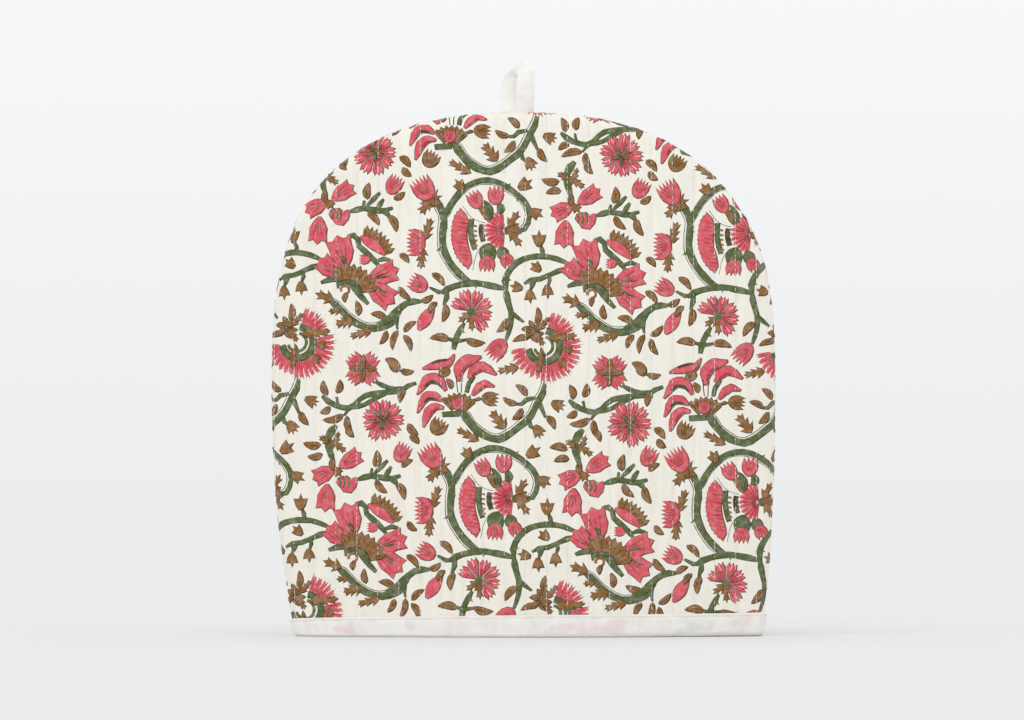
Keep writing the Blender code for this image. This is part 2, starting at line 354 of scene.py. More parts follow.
class PrintBlocks:
    # collects one repeat of the print as (ink, outline) pairs, the lowest first
    def __init__(self, seed):
        self.shapes = []
        self.random = random.Random(seed)

    def add(self, ink, points, wobble=1.0):
        points = np.array(points, float)
        jitter = np.array([[self.random.uniform(-1, 1), self.random.uniform(-1, 1)] for _ in points])
        self.shapes.append((ink, points + jitter * wobble * chart["wobble"]))

    def lined(self, ink, points, line):
        points = np.array(points, float)
        self.add(line, grown(points + np.array(chart["linePull"]), chart["lineGrow"]), 0.6)
        self.add(ink, points)

    def stem(self, points, width=28.0, thorns=(), shadow=0, taper=0.3):
        path = spline(points)
        n = len(path)
        t = np.linspace(0, 1, n)
        ends = 0.45 + 0.55 * np.minimum(1.0, np.minimum(np.arange(n), np.arange(n)[::-1]) / 2.0)
        half = chart["stemFill"] * width * (1.0 - taper * t) * (1.0 + 0.10 * np.sin(t * n * 0.9)) * ends
        normal = sidesOf(path)
        if shadow:
            near = half + chart["shadowGap"]
            far = near + chart["shadowWidth"]
            line = ribbon(path, far, -near) if shadow > 0 else ribbon(path, -near, far)
            self.add("lineGreen", line, 0.5)
        sparse = np.r_[0:n - 1:2, n - 1]
        edge = half[sparse] + chart["stemLine"]
        self.add("lineGreen", ribbon(path[sparse] + np.array(chart["linePull"]), edge, edge), 0.6)
        self.add("green", ribbon(path, half, half))
        for share, side, reach in thorns:
            i = min(int(share * (n - 1)), n - 2)
            along = path[i + 1] - path[i]
            along /= np.linalg.norm(along)
            out = normal[i] * side
            foot = path[i] + out * half[i] * 0.5
            tip = foot + out * (half[i] * 0.5 + reach) + along * 10
            self.add("green", [foot - along * 12, tip, foot + along * 16])

    def leaf(self, base, tip, width, ink="ochre", line="lineOchre", bend=0.12):
        base, tip = np.array(base, float), np.array(tip, float)
        length = np.linalg.norm(tip - base)
        t = np.linspace(0, 1, 9)
        half = np.sin(np.pi * t**0.75) ** 0.8 * width / 2
        curve = bend * length * np.sin(np.pi * t)
        up = np.c_[t * length, curve + half]
        low = np.c_[t * length, curve - half]
        turn = math.atan2(*(tip - base)[::-1])
        self.lined(ink, placed(np.concatenate((up, low[-2:0:-1])), base, turn), line)
        if width > 20:
            vein = np.c_[t[1:7:2] * length, curve[1:7:2]]
            self.add(line, ribbon(placed(vein, base, turn), (3.2, 2.8, 1.0), (3.2, 2.8, 1.0)), 0.4)

    def toothLeaf(self, base, tip, width, teeth=3, ink="ochre", line="lineOchre"):
        base, tip = np.array(base, float), np.array(tip, float)
        length = np.linalg.norm(tip - base)
        up = [(0.0, 0.0)]
        for k in range(teeth):
            t = (k + 0.55) / (teeth + 0.5)
            reach = width / 2 * (1.15 - 0.75 * t)
            up.append((length * (t - 0.02), reach * 0.55))
            up.append((length * (t + 0.20), reach * 1.15))
            up.append((length * (t + 0.14), reach * 0.45))
        low = [(x, -y) for x, y in up[1:]]
        turn = math.atan2(*(tip - base)[::-1])
        self.lined(ink, placed(up + [(length, 0.0)] + low[::-1], base, turn), line)

    def starBud(self, at, size, turn, ink="ochre", line="lineOchre", spikes=3):
        points = [(-0.9, -0.22), (-0.35, -0.55)]
        for k in range(spikes):
            a = math.radians(-62 + 124 * k / (spikes - 1))
            reach = 1.05 if spikes % 2 and k == spikes // 2 else 0.95
            points.append((reach * math.cos(a), reach * math.sin(a)))
            if k < spikes - 1:
                a += math.radians(62 / (spikes - 1))
                points.append((0.42 * math.cos(a), 0.42 * math.sin(a)))
        points += [(-0.35, 0.55), (-0.9, 0.22)]
        self.lined(ink, placed(points, at, turn, size), line)

    def bud(self, at, length, width, degrees, teeth=5, ink="pink", line="linePink", veins=True):
        turn = math.radians(degrees)
        side = ((0.12, 0.50), (-0.12, 0.45), (-0.32, 0.31), (-0.43, 0.12))
        points = [(x * length, y * width) for x, y in side]
        points += [(x * length, -y * width) for x, y in side[::-1]]
        notches = []
        for k in range(teeth):
            y = (k + 0.5) / teeth - 0.5
            rounded = math.sqrt(max(0.0, 1 - (1.8 * y) ** 2))
            points.append((length * (0.36 + 0.20 * rounded), y * width * 1.16))
            if k < teeth - 1:
                y = (k + 1) / teeth - 0.5
                rounded = math.sqrt(max(0.0, 1 - (1.8 * y) ** 2))
                points.append((length * (0.08 + 0.20 * rounded), y * width))
                notches.append(points[-1])
        self.lined(ink, placed(points, at, turn), line)
        if veins:
            for x, y in notches:
                path = placed([(-0.20 * length, y * 0.35), (x, y)], at, turn)
                self.add(line, ribbon(path, 2.0, 2.8), 0.3)

    def petal(self, path, width, teeth=0, ink="pink", line="linePink", stripe=None, side=1, shape=0.8):
        path = spline(path, 17.0)
        t = np.linspace(0, 1, len(path))
        half = width / 2 * np.sin(np.pi * np.clip(t, 0.03, 0.97) ** shape) ** 0.75
        outer = half.copy()
        if teeth:
            outer *= 0.86 + 0.30 * np.abs(((t * teeth) % 1.0) - 0.5) * 2
        left, right = (outer, half) if side > 0 else (half, outer)
        self.lined(ink, ribbon(path, left, right), line)
        if stripe:
            keep = slice(1, max(3, int(len(path) * 0.8)))
            shifted = path - sidesOf(path) * (half * side * 0.72)[:, None]
            self.add(stripe, ribbon(shifted[keep], half[keep] * 0.30, half[keep] * 0.30), 0.6)

    def tulipPetal(self, base, tip, width, ink="pink", line="linePink"):
        base, tip = np.array(base, float), np.array(tip, float)
        length = np.linalg.norm(tip - base)
        half = ((0.0, 0.08), (0.18, 0.30), (0.42, 0.48), (0.64, 0.47), (0.90, 0.54), (0.84, 0.24))
        points = [(x * length, -y * width) for x, y in half] + [(length, 0.0)]
        points += [(x * length, y * width) for x, y in half[::-1]]
        turn = math.atan2(*(tip - base)[::-1])
        self.lined(ink, placed(points, base, turn), line)
        for k in (-1, 0, 1):
            vein = placed([(0.22 * length, k * 0.08 * width), (0.70 * length, k * 0.26 * width)], base, turn)
            self.add("linePink", ribbon(vein, 2.8, 2.2), 0.3)

    def carnation(self, at, inner, outer, start, end, petals, teeth=3, gap=0.10):
        start, end = math.radians(start), math.radians(end)
        for k in range(petals):
            a0 = start + (end - start) * (k + gap) / petals
            a1 = start + (end - start) * (k + 1 - gap) / petals
            reach = outer * self.random.uniform(0.88, 1.04)
            foot = (a0 * 0.7 + a1 * 0.3, a0 * 0.3 + a1 * 0.7)
            points = [(inner * math.cos(foot[0]), inner * math.sin(foot[0]))]
            for j in range(teeth):
                b0 = a0 + (a1 - a0) * j / teeth
                b1 = a0 + (a1 - a0) * (j + 0.5) / teeth
                low = 0.85 if j else 0.80
                points.append((reach * low * math.cos(b0), reach * low * math.sin(b0)))
                points.append((reach * math.cos(b1), reach * math.sin(b1)))
            points.append((reach * 0.80 * math.cos(a1), reach * 0.80 * math.sin(a1)))
            points.append((inner * math.cos(foot[1]), inner * math.sin(foot[1])))
            self.lined("pink", placed(points, at), "linePink")
            for a in (0.68 * a0 + 0.32 * a1, 0.32 * a0 + 0.68 * a1):
                self.streak("pinkDeep", at, a, inner * 1.1, reach * self.random.uniform(0.5, 0.78))
            self.streak(bareCloth, at, 0.5 * (a0 + a1), reach * 0.62, reach * 0.9, 2.2)

    def streak(self, ink, at, angle, near, far, width=4.6):
        aim = np.array((math.cos(angle), math.sin(angle)))
        widths = (0.4 * width, width)
        self.add(ink, ribbon(placed((near * aim, far * aim), at), widths, widths), 0.4)

    def fringe(self, at, inner, outer, start, end, teeth):
        # dark points of the outline block that show between and beyond the petals
        count = teeth * 2 + 1
        a = np.linspace(start - 0.02, end + 0.02, count)
        spread = np.array([self.random.uniform(0.94, 1.06) for _ in range(count)])
        r = np.where(np.arange(count) % 2 == 1, outer * 1.03 * spread, outer * 0.82)
        b = np.linspace(end, start, max(4, teeth // 2))
        points = np.concatenate((np.c_[np.cos(a) * r, np.sin(a) * r], np.c_[np.cos(b), np.sin(b)] * inner))
        self.add("linePink", points + np.asarray(at, float) + np.array(chart["linePull"]), 0.4)

    def disc(self, at, radius, ink, squash=1.0, turn=0.0, count=14):
        a = np.linspace(0, 2 * np.pi, count, endpoint=False)
        self.add(ink, placed(np.c_[np.cos(a), squash * np.sin(a)] * radius, at, turn), 0.6)

    def arc(self, at, radius, start, end, width, ink, line=None):
        start, end = math.radians(start), math.radians(end)
        a = np.linspace(start, end, max(4, int(abs(end - start) * radius / 14)))
        band = ribbon(np.c_[np.cos(a), np.sin(a)] * radius + np.asarray(at, float), width / 2, width / 2)
        if line:
            self.lined(ink, band, line)
        else:
            self.add(ink, band)

    def toothedArc(self, at, inner, outer, start, end, teeth, ink, line):
        start, end = math.radians(start), math.radians(end)
        count = teeth * 2 + 1
        a = np.linspace(start, end, count)
        r = np.where(np.arange(count) % 2 == 1, outer, outer * 0.88)
        b = np.linspace(end, start, max(4, teeth))
        bottom = np.c_[np.cos(b), np.sin(b)] * inner
        points = np.concatenate((np.c_[np.cos(a) * r, np.sin(a) * r], bottom)) + np.asarray(at, float)
        if ink == "pink":
            self.fringe(at, inner, outer, start, end, teeth * 2)
            self.add(ink, points)
        else:
            self.lined(ink, points, line)
        for k in range(teeth):
            m = start + (end - start) * (k + 0.5) / teeth
            self.streak("pinkDeep" if ink == "pink" else line, at, m, inner * 1.08, outer * 0.86, 3.6)
            if ink == "pink":
                m += (end - start) * 0.5 / teeth
                reach = inner + (outer - inner) * self.random.uniform(0.3, 0.55)
                self.streak(line, at, m, inner * 1.1, reach, 2.4)
                nick = outer * self.random.uniform(0.72, 0.84)
                self.streak(bareCloth, at, m + 0.02, nick, outer * 1.04, 3.2)


# each stem: its path, width, thorns as (share of the path, side, reach), shadow line's side, and taper
stems = (
    (((300, 195), (335, 265), (354, 330), (345, 430), (350, 500), (385, 580), (440, 650), (500, 703),
      (530, 716)), 38, ((0.3, 1, 14), (0.52, -1, 30)), -1, 0.1),
    (((335, 772), (400, 736), (520, 712), (620, 724), (728, 748)), 32, ((0.55, -1, 22),), 0, 0.0),
    (((352, 320), (380, 262), (420, 200), (470, 145), (530, 108), (600, 92), (680, 105), (750, 145),
      (810, 190), (853, 240), (868, 290), (860, 350), (838, 388), (790, 405)), 32,
      ((0.6, 1, 18), (0.71, -1, 26)), -1, 0.25),
    (((728, 750), (722, 700), (745, 640), (790, 590), (850, 562), (930, 550), (1010, 560), (1092, 590)),
      34, ((0.12, -1, 22),), 0, 0.25),
    (((952, 552), (945, 515), (932, 480)), 24, (), 0, 0.3),
    (((1095, 622), (1045, 638), (990, 662), (930, 688), (875, 692), (835, 716)), 28, ((0.85, 1, 30),), 0,
      0.3),
    (((988, 662), (990, 695), (980, 730)), 20, (), 0, 0.3),
    (((905, 690), (885, 725), (873, 755)), 24, (), 0, 0.3),
    (((726, 745), (735, 810), (755, 880), (757, 950), (742, 1010), (726, 1056)), 34, (), 0, 0.4),
    (((752, 875), (790, 915), (834, 948)), 22, (), 0, 0.3),
    (((378, 762), (320, 766), (268, 738)), 22, (), 0, 0.3),
    (((372, 745), (370, 800), (352, 848)), 40, (), 0, 0.7),
    (((220, 822), (150, 825), (95, 858), (60, 900), (5, 938), (-45, 962)), 30, (), 0, -0.4),
    (((78, 880), (68, 940), (76, 990)), 26, (), 0, 0.5),
    (((478, 950), (445, 1005), (425, 1050), (412, 1112)), 22, ((0.35, 1, 26),), 0, -0.7),
    (((372, 1044), (425, 1062), (500, 1050)), 22, (), 0, 0.2),
    (((1148, 838), (1200, 880), (1250, 932), (1300, 972), (1370, 1002), (1440, 1006), (1500, 982),
      (1532, 950), (1578, 888)), 34, (), 1, -0.2),
    (((1440, 1004), (1500, 1000), (1540, 975)), 24, (), 0, 0.3),
    (((1095, 732), (1150, 712), (1220, 712), (1275, 735), (1315, 790), (1382, 862)), 30, (), 0, 0.0),
    (((1196, 715), (1200, 768)), 24, (), 0, 0.3),
    (((1255, 455), (1292, 448), (1318, 470), (1325, 512), (1370, 552), (1420, 600), (1442, 630)), 28, (),
      0, 0.0),
    (((1432, 604), (1490, 588), (1528, 610)), 24, (), 0, 0.3),
    (((455, 1475), (485, 1515), (535, 1580), (600, 1628), (680, 1650), (740, 1625), (800, 1580),
      (862, 1530), (898, 1470), (922, 1420), (950, 1370), (962, 1308)), 46, (), 1, 0.35),
    (((915, 1400), (935, 1450), (965, 1520)), 26, (), 0, 0.3),
    (((905, 1400), (850, 1412), (822, 1438), (782, 1440)), 24, (), 0, 0.3),
    (((868, 1530), (874, 1570), (900, 1592)), 22, (), 0, 0.3),
    (((1105, 1415), (1160, 1460), (1260, 1490), (1300, 1470), (1350, 1420), (1430, 1398), (1568, 1384),
      (1624, 1352), (1672, 1336)), 28, (), 0, 0.1),
    (((1280, 1488), (1360, 1466), (1430, 1425), (1500, 1398)), 22, (), 0, 0.0),
    (((1425, 1328), (1480, 1356), (1540, 1372), (1600, 1365)), 22, (), 0, 0.0),
    (((1270, 1490), (1235, 1532)), 22, (), 0, 0.3),
    (((1190, 1420), (1200, 1470)), 20, (), 0, 0.3),
    (((1190, 1590), (1150, 1640), (1138, 1690), (1150, 1745), (1168, 1800)), 40,
      ((0.25, 1, 20), (0.5, -1, 22), (0.7, 1, 20)), 0, 0.1),
    (((1272, 306), (1350, 284), (1420, 296), (1480, 300), (1530, 282)), 30, (), 0, 0.1),
    (((1352, 290), (1356, 238)), 26, (), 0, 0.3),
    (((1430, 295), (1474, 228)), 26, (), 0, 0.1),
    (((1450, 296), (1500, 322), (1512, 348)), 26, (), 0, 0.3),
    (((1500, 1800), (1460, 1840), (1420, 1880)), 24, (), 0, 0.0),
)

# each leaf: where it starts, its tip and its width
leaves = (
    (105, 20, 155, 66, 35), (55, 204, 116, 165, 33), (90, 538, 142, 588, 30), (286, 655, 356, 726, 33),
    (85, 738, 152, 808, 33), (220, 822, 288, 785, 31), (366, 842, 346, 945, 37),
    (742, 925, 674, 1006, 39), (1322, 928, 1310, 845, 33), (1488, 948, 1400, 920, 35),
    (76, 998, 44, 1110, 30), (114, 1026, 156, 1118, 31), (116, 1004, 186, 944, 31),
    (10, 1002, -30, 1078, 30), (1376, 228, 1386, 134, 42), (1380, 312, 1446, 386, 35),
    (1508, 328, 1552, 426, 39), (1046, 100, 944, 88, 40), (1056, 158, 970, 170, 37),
    (1208, -12, 1246, 52, 33), (1232, 1530, 1110, 1560, 37), (1152, 1484, 1094, 1516, 33),
    (1132, 1408, 1110, 1325, 35), (1196, 1396, 1212, 1320, 37), (972, 1512, 1020, 1588, 35),
    (138, 1560, 198, 1622, 37), (118, 1350, 90, 1428, 33), (852, 1386, 788, 1325, 33),
    (792, 1438, 712, 1402, 30), (826, 1468, 768, 1532, 35), (1252, 1538, 1288, 1648, 33),
    (488, 1052, 600, 1072, 39), (385, 1052, 272, 1042, 40), (912, 960, 916, 860, 33),
    (1000, 1040, 1150, 1022, 26), (868, 1040, 770, 1062, 30),
)

toothLeaves = (
    (234, 452, 276, 322, 63, 3), (222, 500, 216, 622, 63, 3), (1172, 838, 1064, 796, 74, 2),
    (1212, 902, 1144, 906, 44, 2), (1290, 958, 1188, 984, 71, 3), (1402, 1018, 1274, 1058, 54, 3),
    (1110, 74, 1196, 136, 51, 3), (1136, 84, 1156, 20, 34, 2), (1096, 88, 1040, 48, 40, 2),
    (722, 1586, 640, 1484, 77, 3), (562, 1658, 434, 1590, 58, 3),
)

starBuds = (
    (447, 122, 40, -2.2, 3), (842, 118, 48, -0.6, 3), (908, 292, 43, 0.5, 3), (790, 736, 38, -2.9, 3),
    (872, 792, 40, 1.5, 3), (976, 764, 40, 1.5, 3), (908, 616, 38, -2.4, 3), (926, 446, 48, -1.57, 3),
    (1040, 1446, 44, 0.4, 4), (922, 1604, 44, 1.0, 4),
)


def fanFlower(p):
    outer = ((452, 262), (418, 308), (405, 357), (399, 411), (403, 465), (417, 519), (441, 568), (472, 603))
    near = ((520, 588), (514, 540), (498, 488), (491, 440), (492, 390), (500, 345), (484, 300))
    left = spline(outer + ((500, 628),), 13.0)
    left += sidesOf(left) * (6.0 * (np.arange(len(left)) % 2))[:, None]
    p.lined("pink", np.concatenate((left, spline(near))), "linePink")
    for k in range(11):
        y = 330 + 24 * k
        x = 470 + 20 * ((k - 4) / 5.0) ** 2
        ink = "linePink" if k % 2 else "pinkDeep"
        p.add(ink, ribbon([(x - 42, y - 8), (x + 24, y + 2)], (0.6, 3.0), (0.6, 3.0)), 0.4)
    p.lined("green", ribbon(spline(((520, 330), (514, 385), (520, 440), (538, 508))), 11, 11), "lineGreen")
    for k in range(5):
        y = 370 + 29 * k
        x = 545 + 5 * ((k - 1) / 3.0) ** 2
        p.add("ochre", ((x - 10, y - 8), (x + 9, y - 5), (x + 12, y + 7), (x - 8, y + 8)), 0.8)
    p.lined("lineOchre", ribbon(spline(((582, 362), (578, 405), (590, 458))), 11, 11), "lineGreen")
    p.toothedArc((724, 396), 14, 126, 98, 262, 11, "pink", "linePink")
    p.disc((738, 398), 22, "green", 1.2)
    p.starBud((778, 394), 48, 0.1, spikes=4)
    p.toothLeaf((742, 376), (802, 280), 62, 2)
    p.toothLeaf((750, 404), (818, 490), 60, 2)
    p.leaf((626, 332), (560, 246), 50)
    p.leaf((634, 330), (594, 214), 34, "green", "lineGreen")
    p.leaf((694, 296), (682, 226), 40, "green", "lineGreen")
    p.bud((545, 215), 110, 84, -118, 4)
    p.bud((665, 190), 110, 92, -85, 4)
    p.bud((618, 520), 92, 96, 92, 4, "green", "lineGreen", False)
    p.bud((614, 592), 92, 90, 92, 4)
    p.bud((706, 528), 70, 66, 62, 4, "green", "lineOchre", False)
    p.bud((730, 572), 80, 74, 56, 4)
    upper = ((470, 250), (512, 310), (560, 340), (604, 350))
    lower = ((664, 470), (590, 486), (548, 552), (530, 636))
    for line in (upper, lower):
        p.add("lineGreen", ribbon(spline(line), 1.8, 1.8), 0.3)


def budsOnTheTrunk(p):
    p.starBud((282, 205), 70, math.radians(-38), spikes=4)
    p.toothLeaf((290, 190), (212, 290), 74, 3)
    p.bud((236, 150), 150, 124, -120, 6)
    p.bud((192, 468), 108, 154, 180, 7)
    p.bud((205, 720), 118, 96, -150, 5)
    p.bud((680, 1105), 140, 104, 132, 5)
    p.petal(((300, 842), (268, 890), (236, 940), (204, 992)), 70, shape=1.35)
    p.leaf((310, 828), (268, 890), 30)
    p.bud((1533, 150), 118, 92, -60, 5)


def halfCarnation(p):
    p.toothLeaf((515, 905), (525, 1000), 50, 2)
    p.toothLeaf((505, 895), (445, 945), 50, 2)
    p.carnation((520, 885), 24, 132, -172, 74, 6)
    p.disc((520, 888), 25, "green")


def fullCarnation(p):
    p.carnation((1470, 1558), 20, 134, -180, 180, 9)
    p.disc((1470, 1558), 24, "lineOchre")
    for k in range(5):
        a = math.radians(72 * k + 20)
        tip = (1470 + 58 * math.cos(a), 1558 + 58 * math.sin(a))
        p.leaf((1470, 1558), tip, 14, "green" if k % 2 else "ochre", "lineOchre", 0.0)


def roundFlower(p):
    at = (955, 1092)
    p.toothedArc(at, 112, 212, -78, -28, 5, "pink", "linePink")
    p.toothedArc(at, 110, 202, 84, 174, 8, "pink", "linePink")
    p.toothedArc((970, 1098), 100, 212, -16, 100, 12, "pink", "linePink")
    p.arc(at, 94, -80, 168, 32, "green", "lineGreen")
    p.arc(at, 56, -78, 164, 20, "green")
    p.leaf((925, 1210), (938, 1100), 26)
    p.toothLeaf((938, 1125), (925, 1255), 42, 3)
    for x, y, turn in ((1104, 1112, 0.2), (1068, 1192, 0.9)):
        p.starBud((x, y), 30, turn)
    p.toothLeaf((982, 1040), (1150, 1030), 60, 3)
    for k in range(6):
        a = math.radians(60 * k + 12)
        near = (888 + 8 * math.cos(a), 1002 + 8 * math.sin(a))
        p.leaf(near, (888 + 66 * math.cos(a), 1002 + 66 * math.sin(a)), 28)
    p.toothLeaf((905, 1010), (950, 1085), 46, 3)
    p.toothLeaf((925, 990), (985, 920), 38, 3)


def lilyGroup(p):
    p.tulipPetal((1186, 690), (1084, 588), 104)
    p.tulipPetal((1250, 640), (1192, 450), 142)
    p.add("pink", [(1180, 640), (1236, 602), (1262, 690), (1206, 716)])
    p.tulipPetal((1380, 716), (1566, 650), 118)
    p.add("green", ribbon(spline(((1396, 722), (1440, 704), (1492, 694))), 5, 5), 0.6)
    p.bud((1210, 664), 96, 80, -118, 5)
    p.tulipPetal((1384, 746), (1540, 858), 124)
    p.add("green", ribbon(spline(((1400, 742), (1446, 770), (1490, 800))), 7, 7), 0.6)
    p.leaf((1240, 618), (1218, 572), 16, "green", "lineGreen")
    p.toothedArc((1256, 806), 96, 188, -122, -8, 9, "ochre", "lineOchre")
    p.arc((1254, 812), 84, -128, -4, 12, "green", "lineGreen")
    p.arc((1244, 778), 26, -200, 100, 18, "ochre")
    p.leaf((1250, 800), (1240, 850), 26)
    p.toothedArc((1330, 612), 150, 226, -82, -18, 8, "ochre", "lineOchre")
    p.petal(((1336, 458), (1390, 490), (1440, 525), (1482, 566)), 54, shape=0.9)
    p.bud((1364, 594), 62, 52, 180, 4, veins=False)


def trefoil(p):
    p.tulipPetal((1164, 232), (1292, 146), 92)
    p.tulipPetal((1128, 246), (1000, 306), 94)
    p.tulipPetal((1086, 338), (1074, 500), 104)
    p.petal(((1150, 310), (1190, 325), (1225, 345), (1262, 300)), 84, teeth=5, side=-1, shape=0.8)
    for k in range(3):
        path = spline(((1156 + 24 * k, 296 - 6 * k), (1170 + 26 * k, 330), (1160 + 26 * k, 352 + 4 * k)))
        p.add("green", ribbon(path, 6, 6), 0.6)
    p.leaf((1120, 180), (1134, 258), 32)
    p.starBud((1150, 262), 32, 0.9)


def squareFlower(p):
    for k in range(4):
        a = math.radians(45 + 90 * k)
        p.bud((1350 + 58 * math.cos(a), 1250 + 58 * math.sin(a)), 98, 88, 45 + 90 * k, 4)
    for k in range(4):
        a = math.radians(90 * k + 2)
        p.leaf((1350, 1250), (1350 + 84 * math.cos(a), 1250 + 84 * math.sin(a)), 30, bend=0.0)


def palmette(p):
    p.lined("green", placed(((0, 0), (104, -8), (100, 22), (4, 26)), (346, 1488)), "lineGreen")
    p.petal(((330, 1245), (360, 1215), (392, 1185), (416, 1142)), 40, shape=0.9)
    p.petal(((400, 1180), (350, 1196), (300, 1208), (228, 1226)), 50, shape=0.8, stripe="lineOchre")
    p.disc((360, 1250), 40, "lineOchre", 0.78, -0.4)
    p.disc((358, 1249), 34, "ochre", 0.75, -0.4)
    p.disc((352, 1254), 14, "lineOchre", 0.7, -0.5)
    p.leaf((400, 1345), (372, 1288), 30)
    p.petal(((444, 1300), (446, 1240), (482, 1186), (578, 1158)), 70, teeth=3, shape=0.95, stripe="pinkDeep")
    p.petal(((506, 1284), (534, 1238), (590, 1216), (668, 1262)), 56, teeth=4, shape=0.8, stripe="pinkDeep")
    for line in (((440, 1370), (434, 1316), (432, 1270)), ((462, 1372), (462, 1320), (470, 1280))):
        p.add("lineGreen", ribbon(spline(line), 3.4, 3.4), 0.4)
    widths = (9, 9, 9, 9, 4)
    p.lined("green", ribbon(spline(((492, 1366), (504, 1316), (536, 1276))), widths, widths), "lineGreen")
    p.petal(((528, 1384), (556, 1348), (600, 1318), (656, 1334)), 44, teeth=3, shape=0.8, stripe="pinkDeep")
    p.petal(((366, 1356), (330, 1300), (262, 1290), (196, 1380)), 58,
            shape=0.85, stripe="lineGreen", side=-1, teeth=5)
    p.petal(((342, 1418), (296, 1392), (244, 1400), (198, 1490)), 50,
            shape=0.85, stripe="lineGreen", side=-1, teeth=4)
    p.petal(((352, 1462), (306, 1456), (262, 1490), (232, 1576)), 50,
            shape=0.85, side=-1, teeth=4, stripe="pinkDeep")
    p.toothedArc((440, 1520), 60, 148, -132, -42, 7, "ochre", "lineOchre")
    p.bud((438, 1440), 76, 66, -90, 4)


def blossoms(p):
    p.bud((318, 1580), 100, 98, -60, 5, "ochre", "lineOchre")
    p.bud((628, 1406), 98, 78, 10, 4, "ochre", "lineOchre")
    p.leaf((576, 1408), (540, 1420), 12)
    p.toothLeaf((800, 1218), (680, 1242), 56, 3)
    p.petal(((78, 1240), (60, 1212), (40, 1184), (6, 1170)), 56, ink="ochre", line="lineOchre", shape=0.7)
    p.leaf((96, 1238), (172, 1242), 30)
    p.stem(((70, 1226), (100, 1244)), 10)


flowers = (
    fanFlower, budsOnTheTrunk, halfCarnation, fullCarnation, roundFlower,
    lilyGroup, trefoil, squareFlower, palmette, blossoms,
)


def oneRepeat(seed):
    p = PrintBlocks(seed)
    for points, width, thorns, shadow, taper in stems:
        p.stem(points, width, thorns, shadow, taper)
    for x0, y0, x1, y1, width in leaves:
        p.leaf((x0, y0), (x1, y1), width, bend=p.random.choice((-0.1, 0.1)))
    for x0, y0, x1, y1, width, teeth in toothLeaves:
        p.toothLeaf((x0, y0), (x1, y1), width, teeth)
    for x, y, size, turn, spikes in starBuds:
        p.starBud((x, y), size, turn, spikes=spikes)
    for flower in flowers:
        flower(p)
    return p.shapes


def printOnCloth(origin, low, high):
    # every printed shape that touches the box from low to high, in metres of cloth
    shapes = []
    for down in range(-1, 3):
        for across in range(-1, 3):
            shift = np.array(chart["acrossStep"]) * across + np.array(chart["downStep"]) * down
            for ink, points in oneRepeat(100 + 10 * down + across):
                moved = (points + shift) * chart["unit"]
                place = np.c_[origin[0] + moved[:, 0], origin[1] - moved[:, 1]]
                if (place.max(0) > low).all() and (place.min(0) < high).all():
                    shapes.append((ink, place))
    return shapes


# Shader maths reads as plain expressions: a Signal holds one output of a node.
class Signal:
    def __init__(self, tree, socket=None):
        self.tree = tree
        self.socket = socket

    def node(self, kind, settings=None, sockets=None, output=0):
        made = self.tree.nodes.new(kind)
        for name, value in (settings or {}).items():
            setattr(made, name, value)
        for name, value in (sockets or {}).items():
            target = made.inputs[name]
            if isinstance(value, Signal):
                self.tree.links.new(value.socket, target)
            else:
                target.default_value = value
        return Signal(self.tree, made.outputs[output])

    def maths(self, operation, *values):
        return self.node("ShaderNodeMath", {"operation": operation}, dict(enumerate(values)))

    def __add__(self, other):
        return self.maths("ADD", self, other)

    def __radd__(self, other):
        return self.maths("ADD", other, self)

    def __sub__(self, other):
        return self.maths("SUBTRACT", self, other)

    def __rsub__(self, other):
        return self.maths("SUBTRACT", other, self)

    def __mul__(self, other):
        return self.maths("MULTIPLY", self, other)

    def __rmul__(self, other):
        return self.maths("MULTIPLY", other, self)

    def sine(self):
        return self.maths("SINE", self)

    def size(self):
        return self.maths("ABSOLUTE", self)

    def blend(self, low, high):
        # a colour that goes from low to high with this signal
        sockets = {0: self, 6: low, 7: high}
        return self.node("ShaderNodeMix", {"data_type": "RGBA"}, sockets, 2)

    def between(self, low, high):
        limits = {"Value": self, "From Min": low, "From Max": high}
        return self.node("ShaderNodeMapRange", {"interpolation_type": "SMOOTHSTEP"}, limits)


def newMaterial(name):
    material = bpy.data.materials.new(name)
    material.use_nodes = True
    tree = material.node_tree
    shader = tree.nodes["Principled BSDF"]
    return material, Signal(tree), shader


def plug(shader, name, signal):
    signal.tree.links.new(signal.socket, shader.inputs[name])


cottonLook = {
    "ground": (247, 243, 232),
    "groundShade": (239, 234, 221),
    "roughness": 0.86,
    "sheen": 0.12,
    "threadPitch": 0.00042,
    "weaveHeight": 0.00004,
    "creaseHeight": 0.00022,
    # noise over the cloth: scale, detail, roughness, and stretch across, up and through it
    "mottle": (240.0, 5.0, 0.65),
    "grain": (1500.0, 2.0, 0.6),
    "slub": (90.0, 2.0, 0.5, (3.0, 0.35, 1.0)),
    "crease": (60.0, 2.0, 0.5, (1.0, 5.5, 1.0)),
    "inkBody": (0.85, 0.24),
    "inkDry": (0.81, 0.19),
}


def clothCoordinates(maker):
    uv = maker.node("ShaderNodeUVMap", {"uv_map": "cloth"})
    split = maker.node("ShaderNodeSeparateXYZ", None, {0: uv})
    across = split
    up = Signal(maker.tree, split.socket.node.outputs[1])
    return uv, across, up


def noiseOn(maker, vector, scale, detail=3.0, rough=0.55, stretch=None):
    if stretch:
        vector = maker.node("ShaderNodeMapping", None, {"Vector": vector, "Scale": stretch})
    sockets = {"Vector": vector, "Scale": scale, "Detail": detail, "Roughness": rough}
    return maker.node("ShaderNodeTexNoise", {"noise_dimensions": "3D"}, sockets, 0)


def weaveOf(maker, across, up, pitch):
    warp = (across * (math.pi / pitch)).sine()
    weft = (up * (math.pi / pitch)).sine()
    return warp * weft


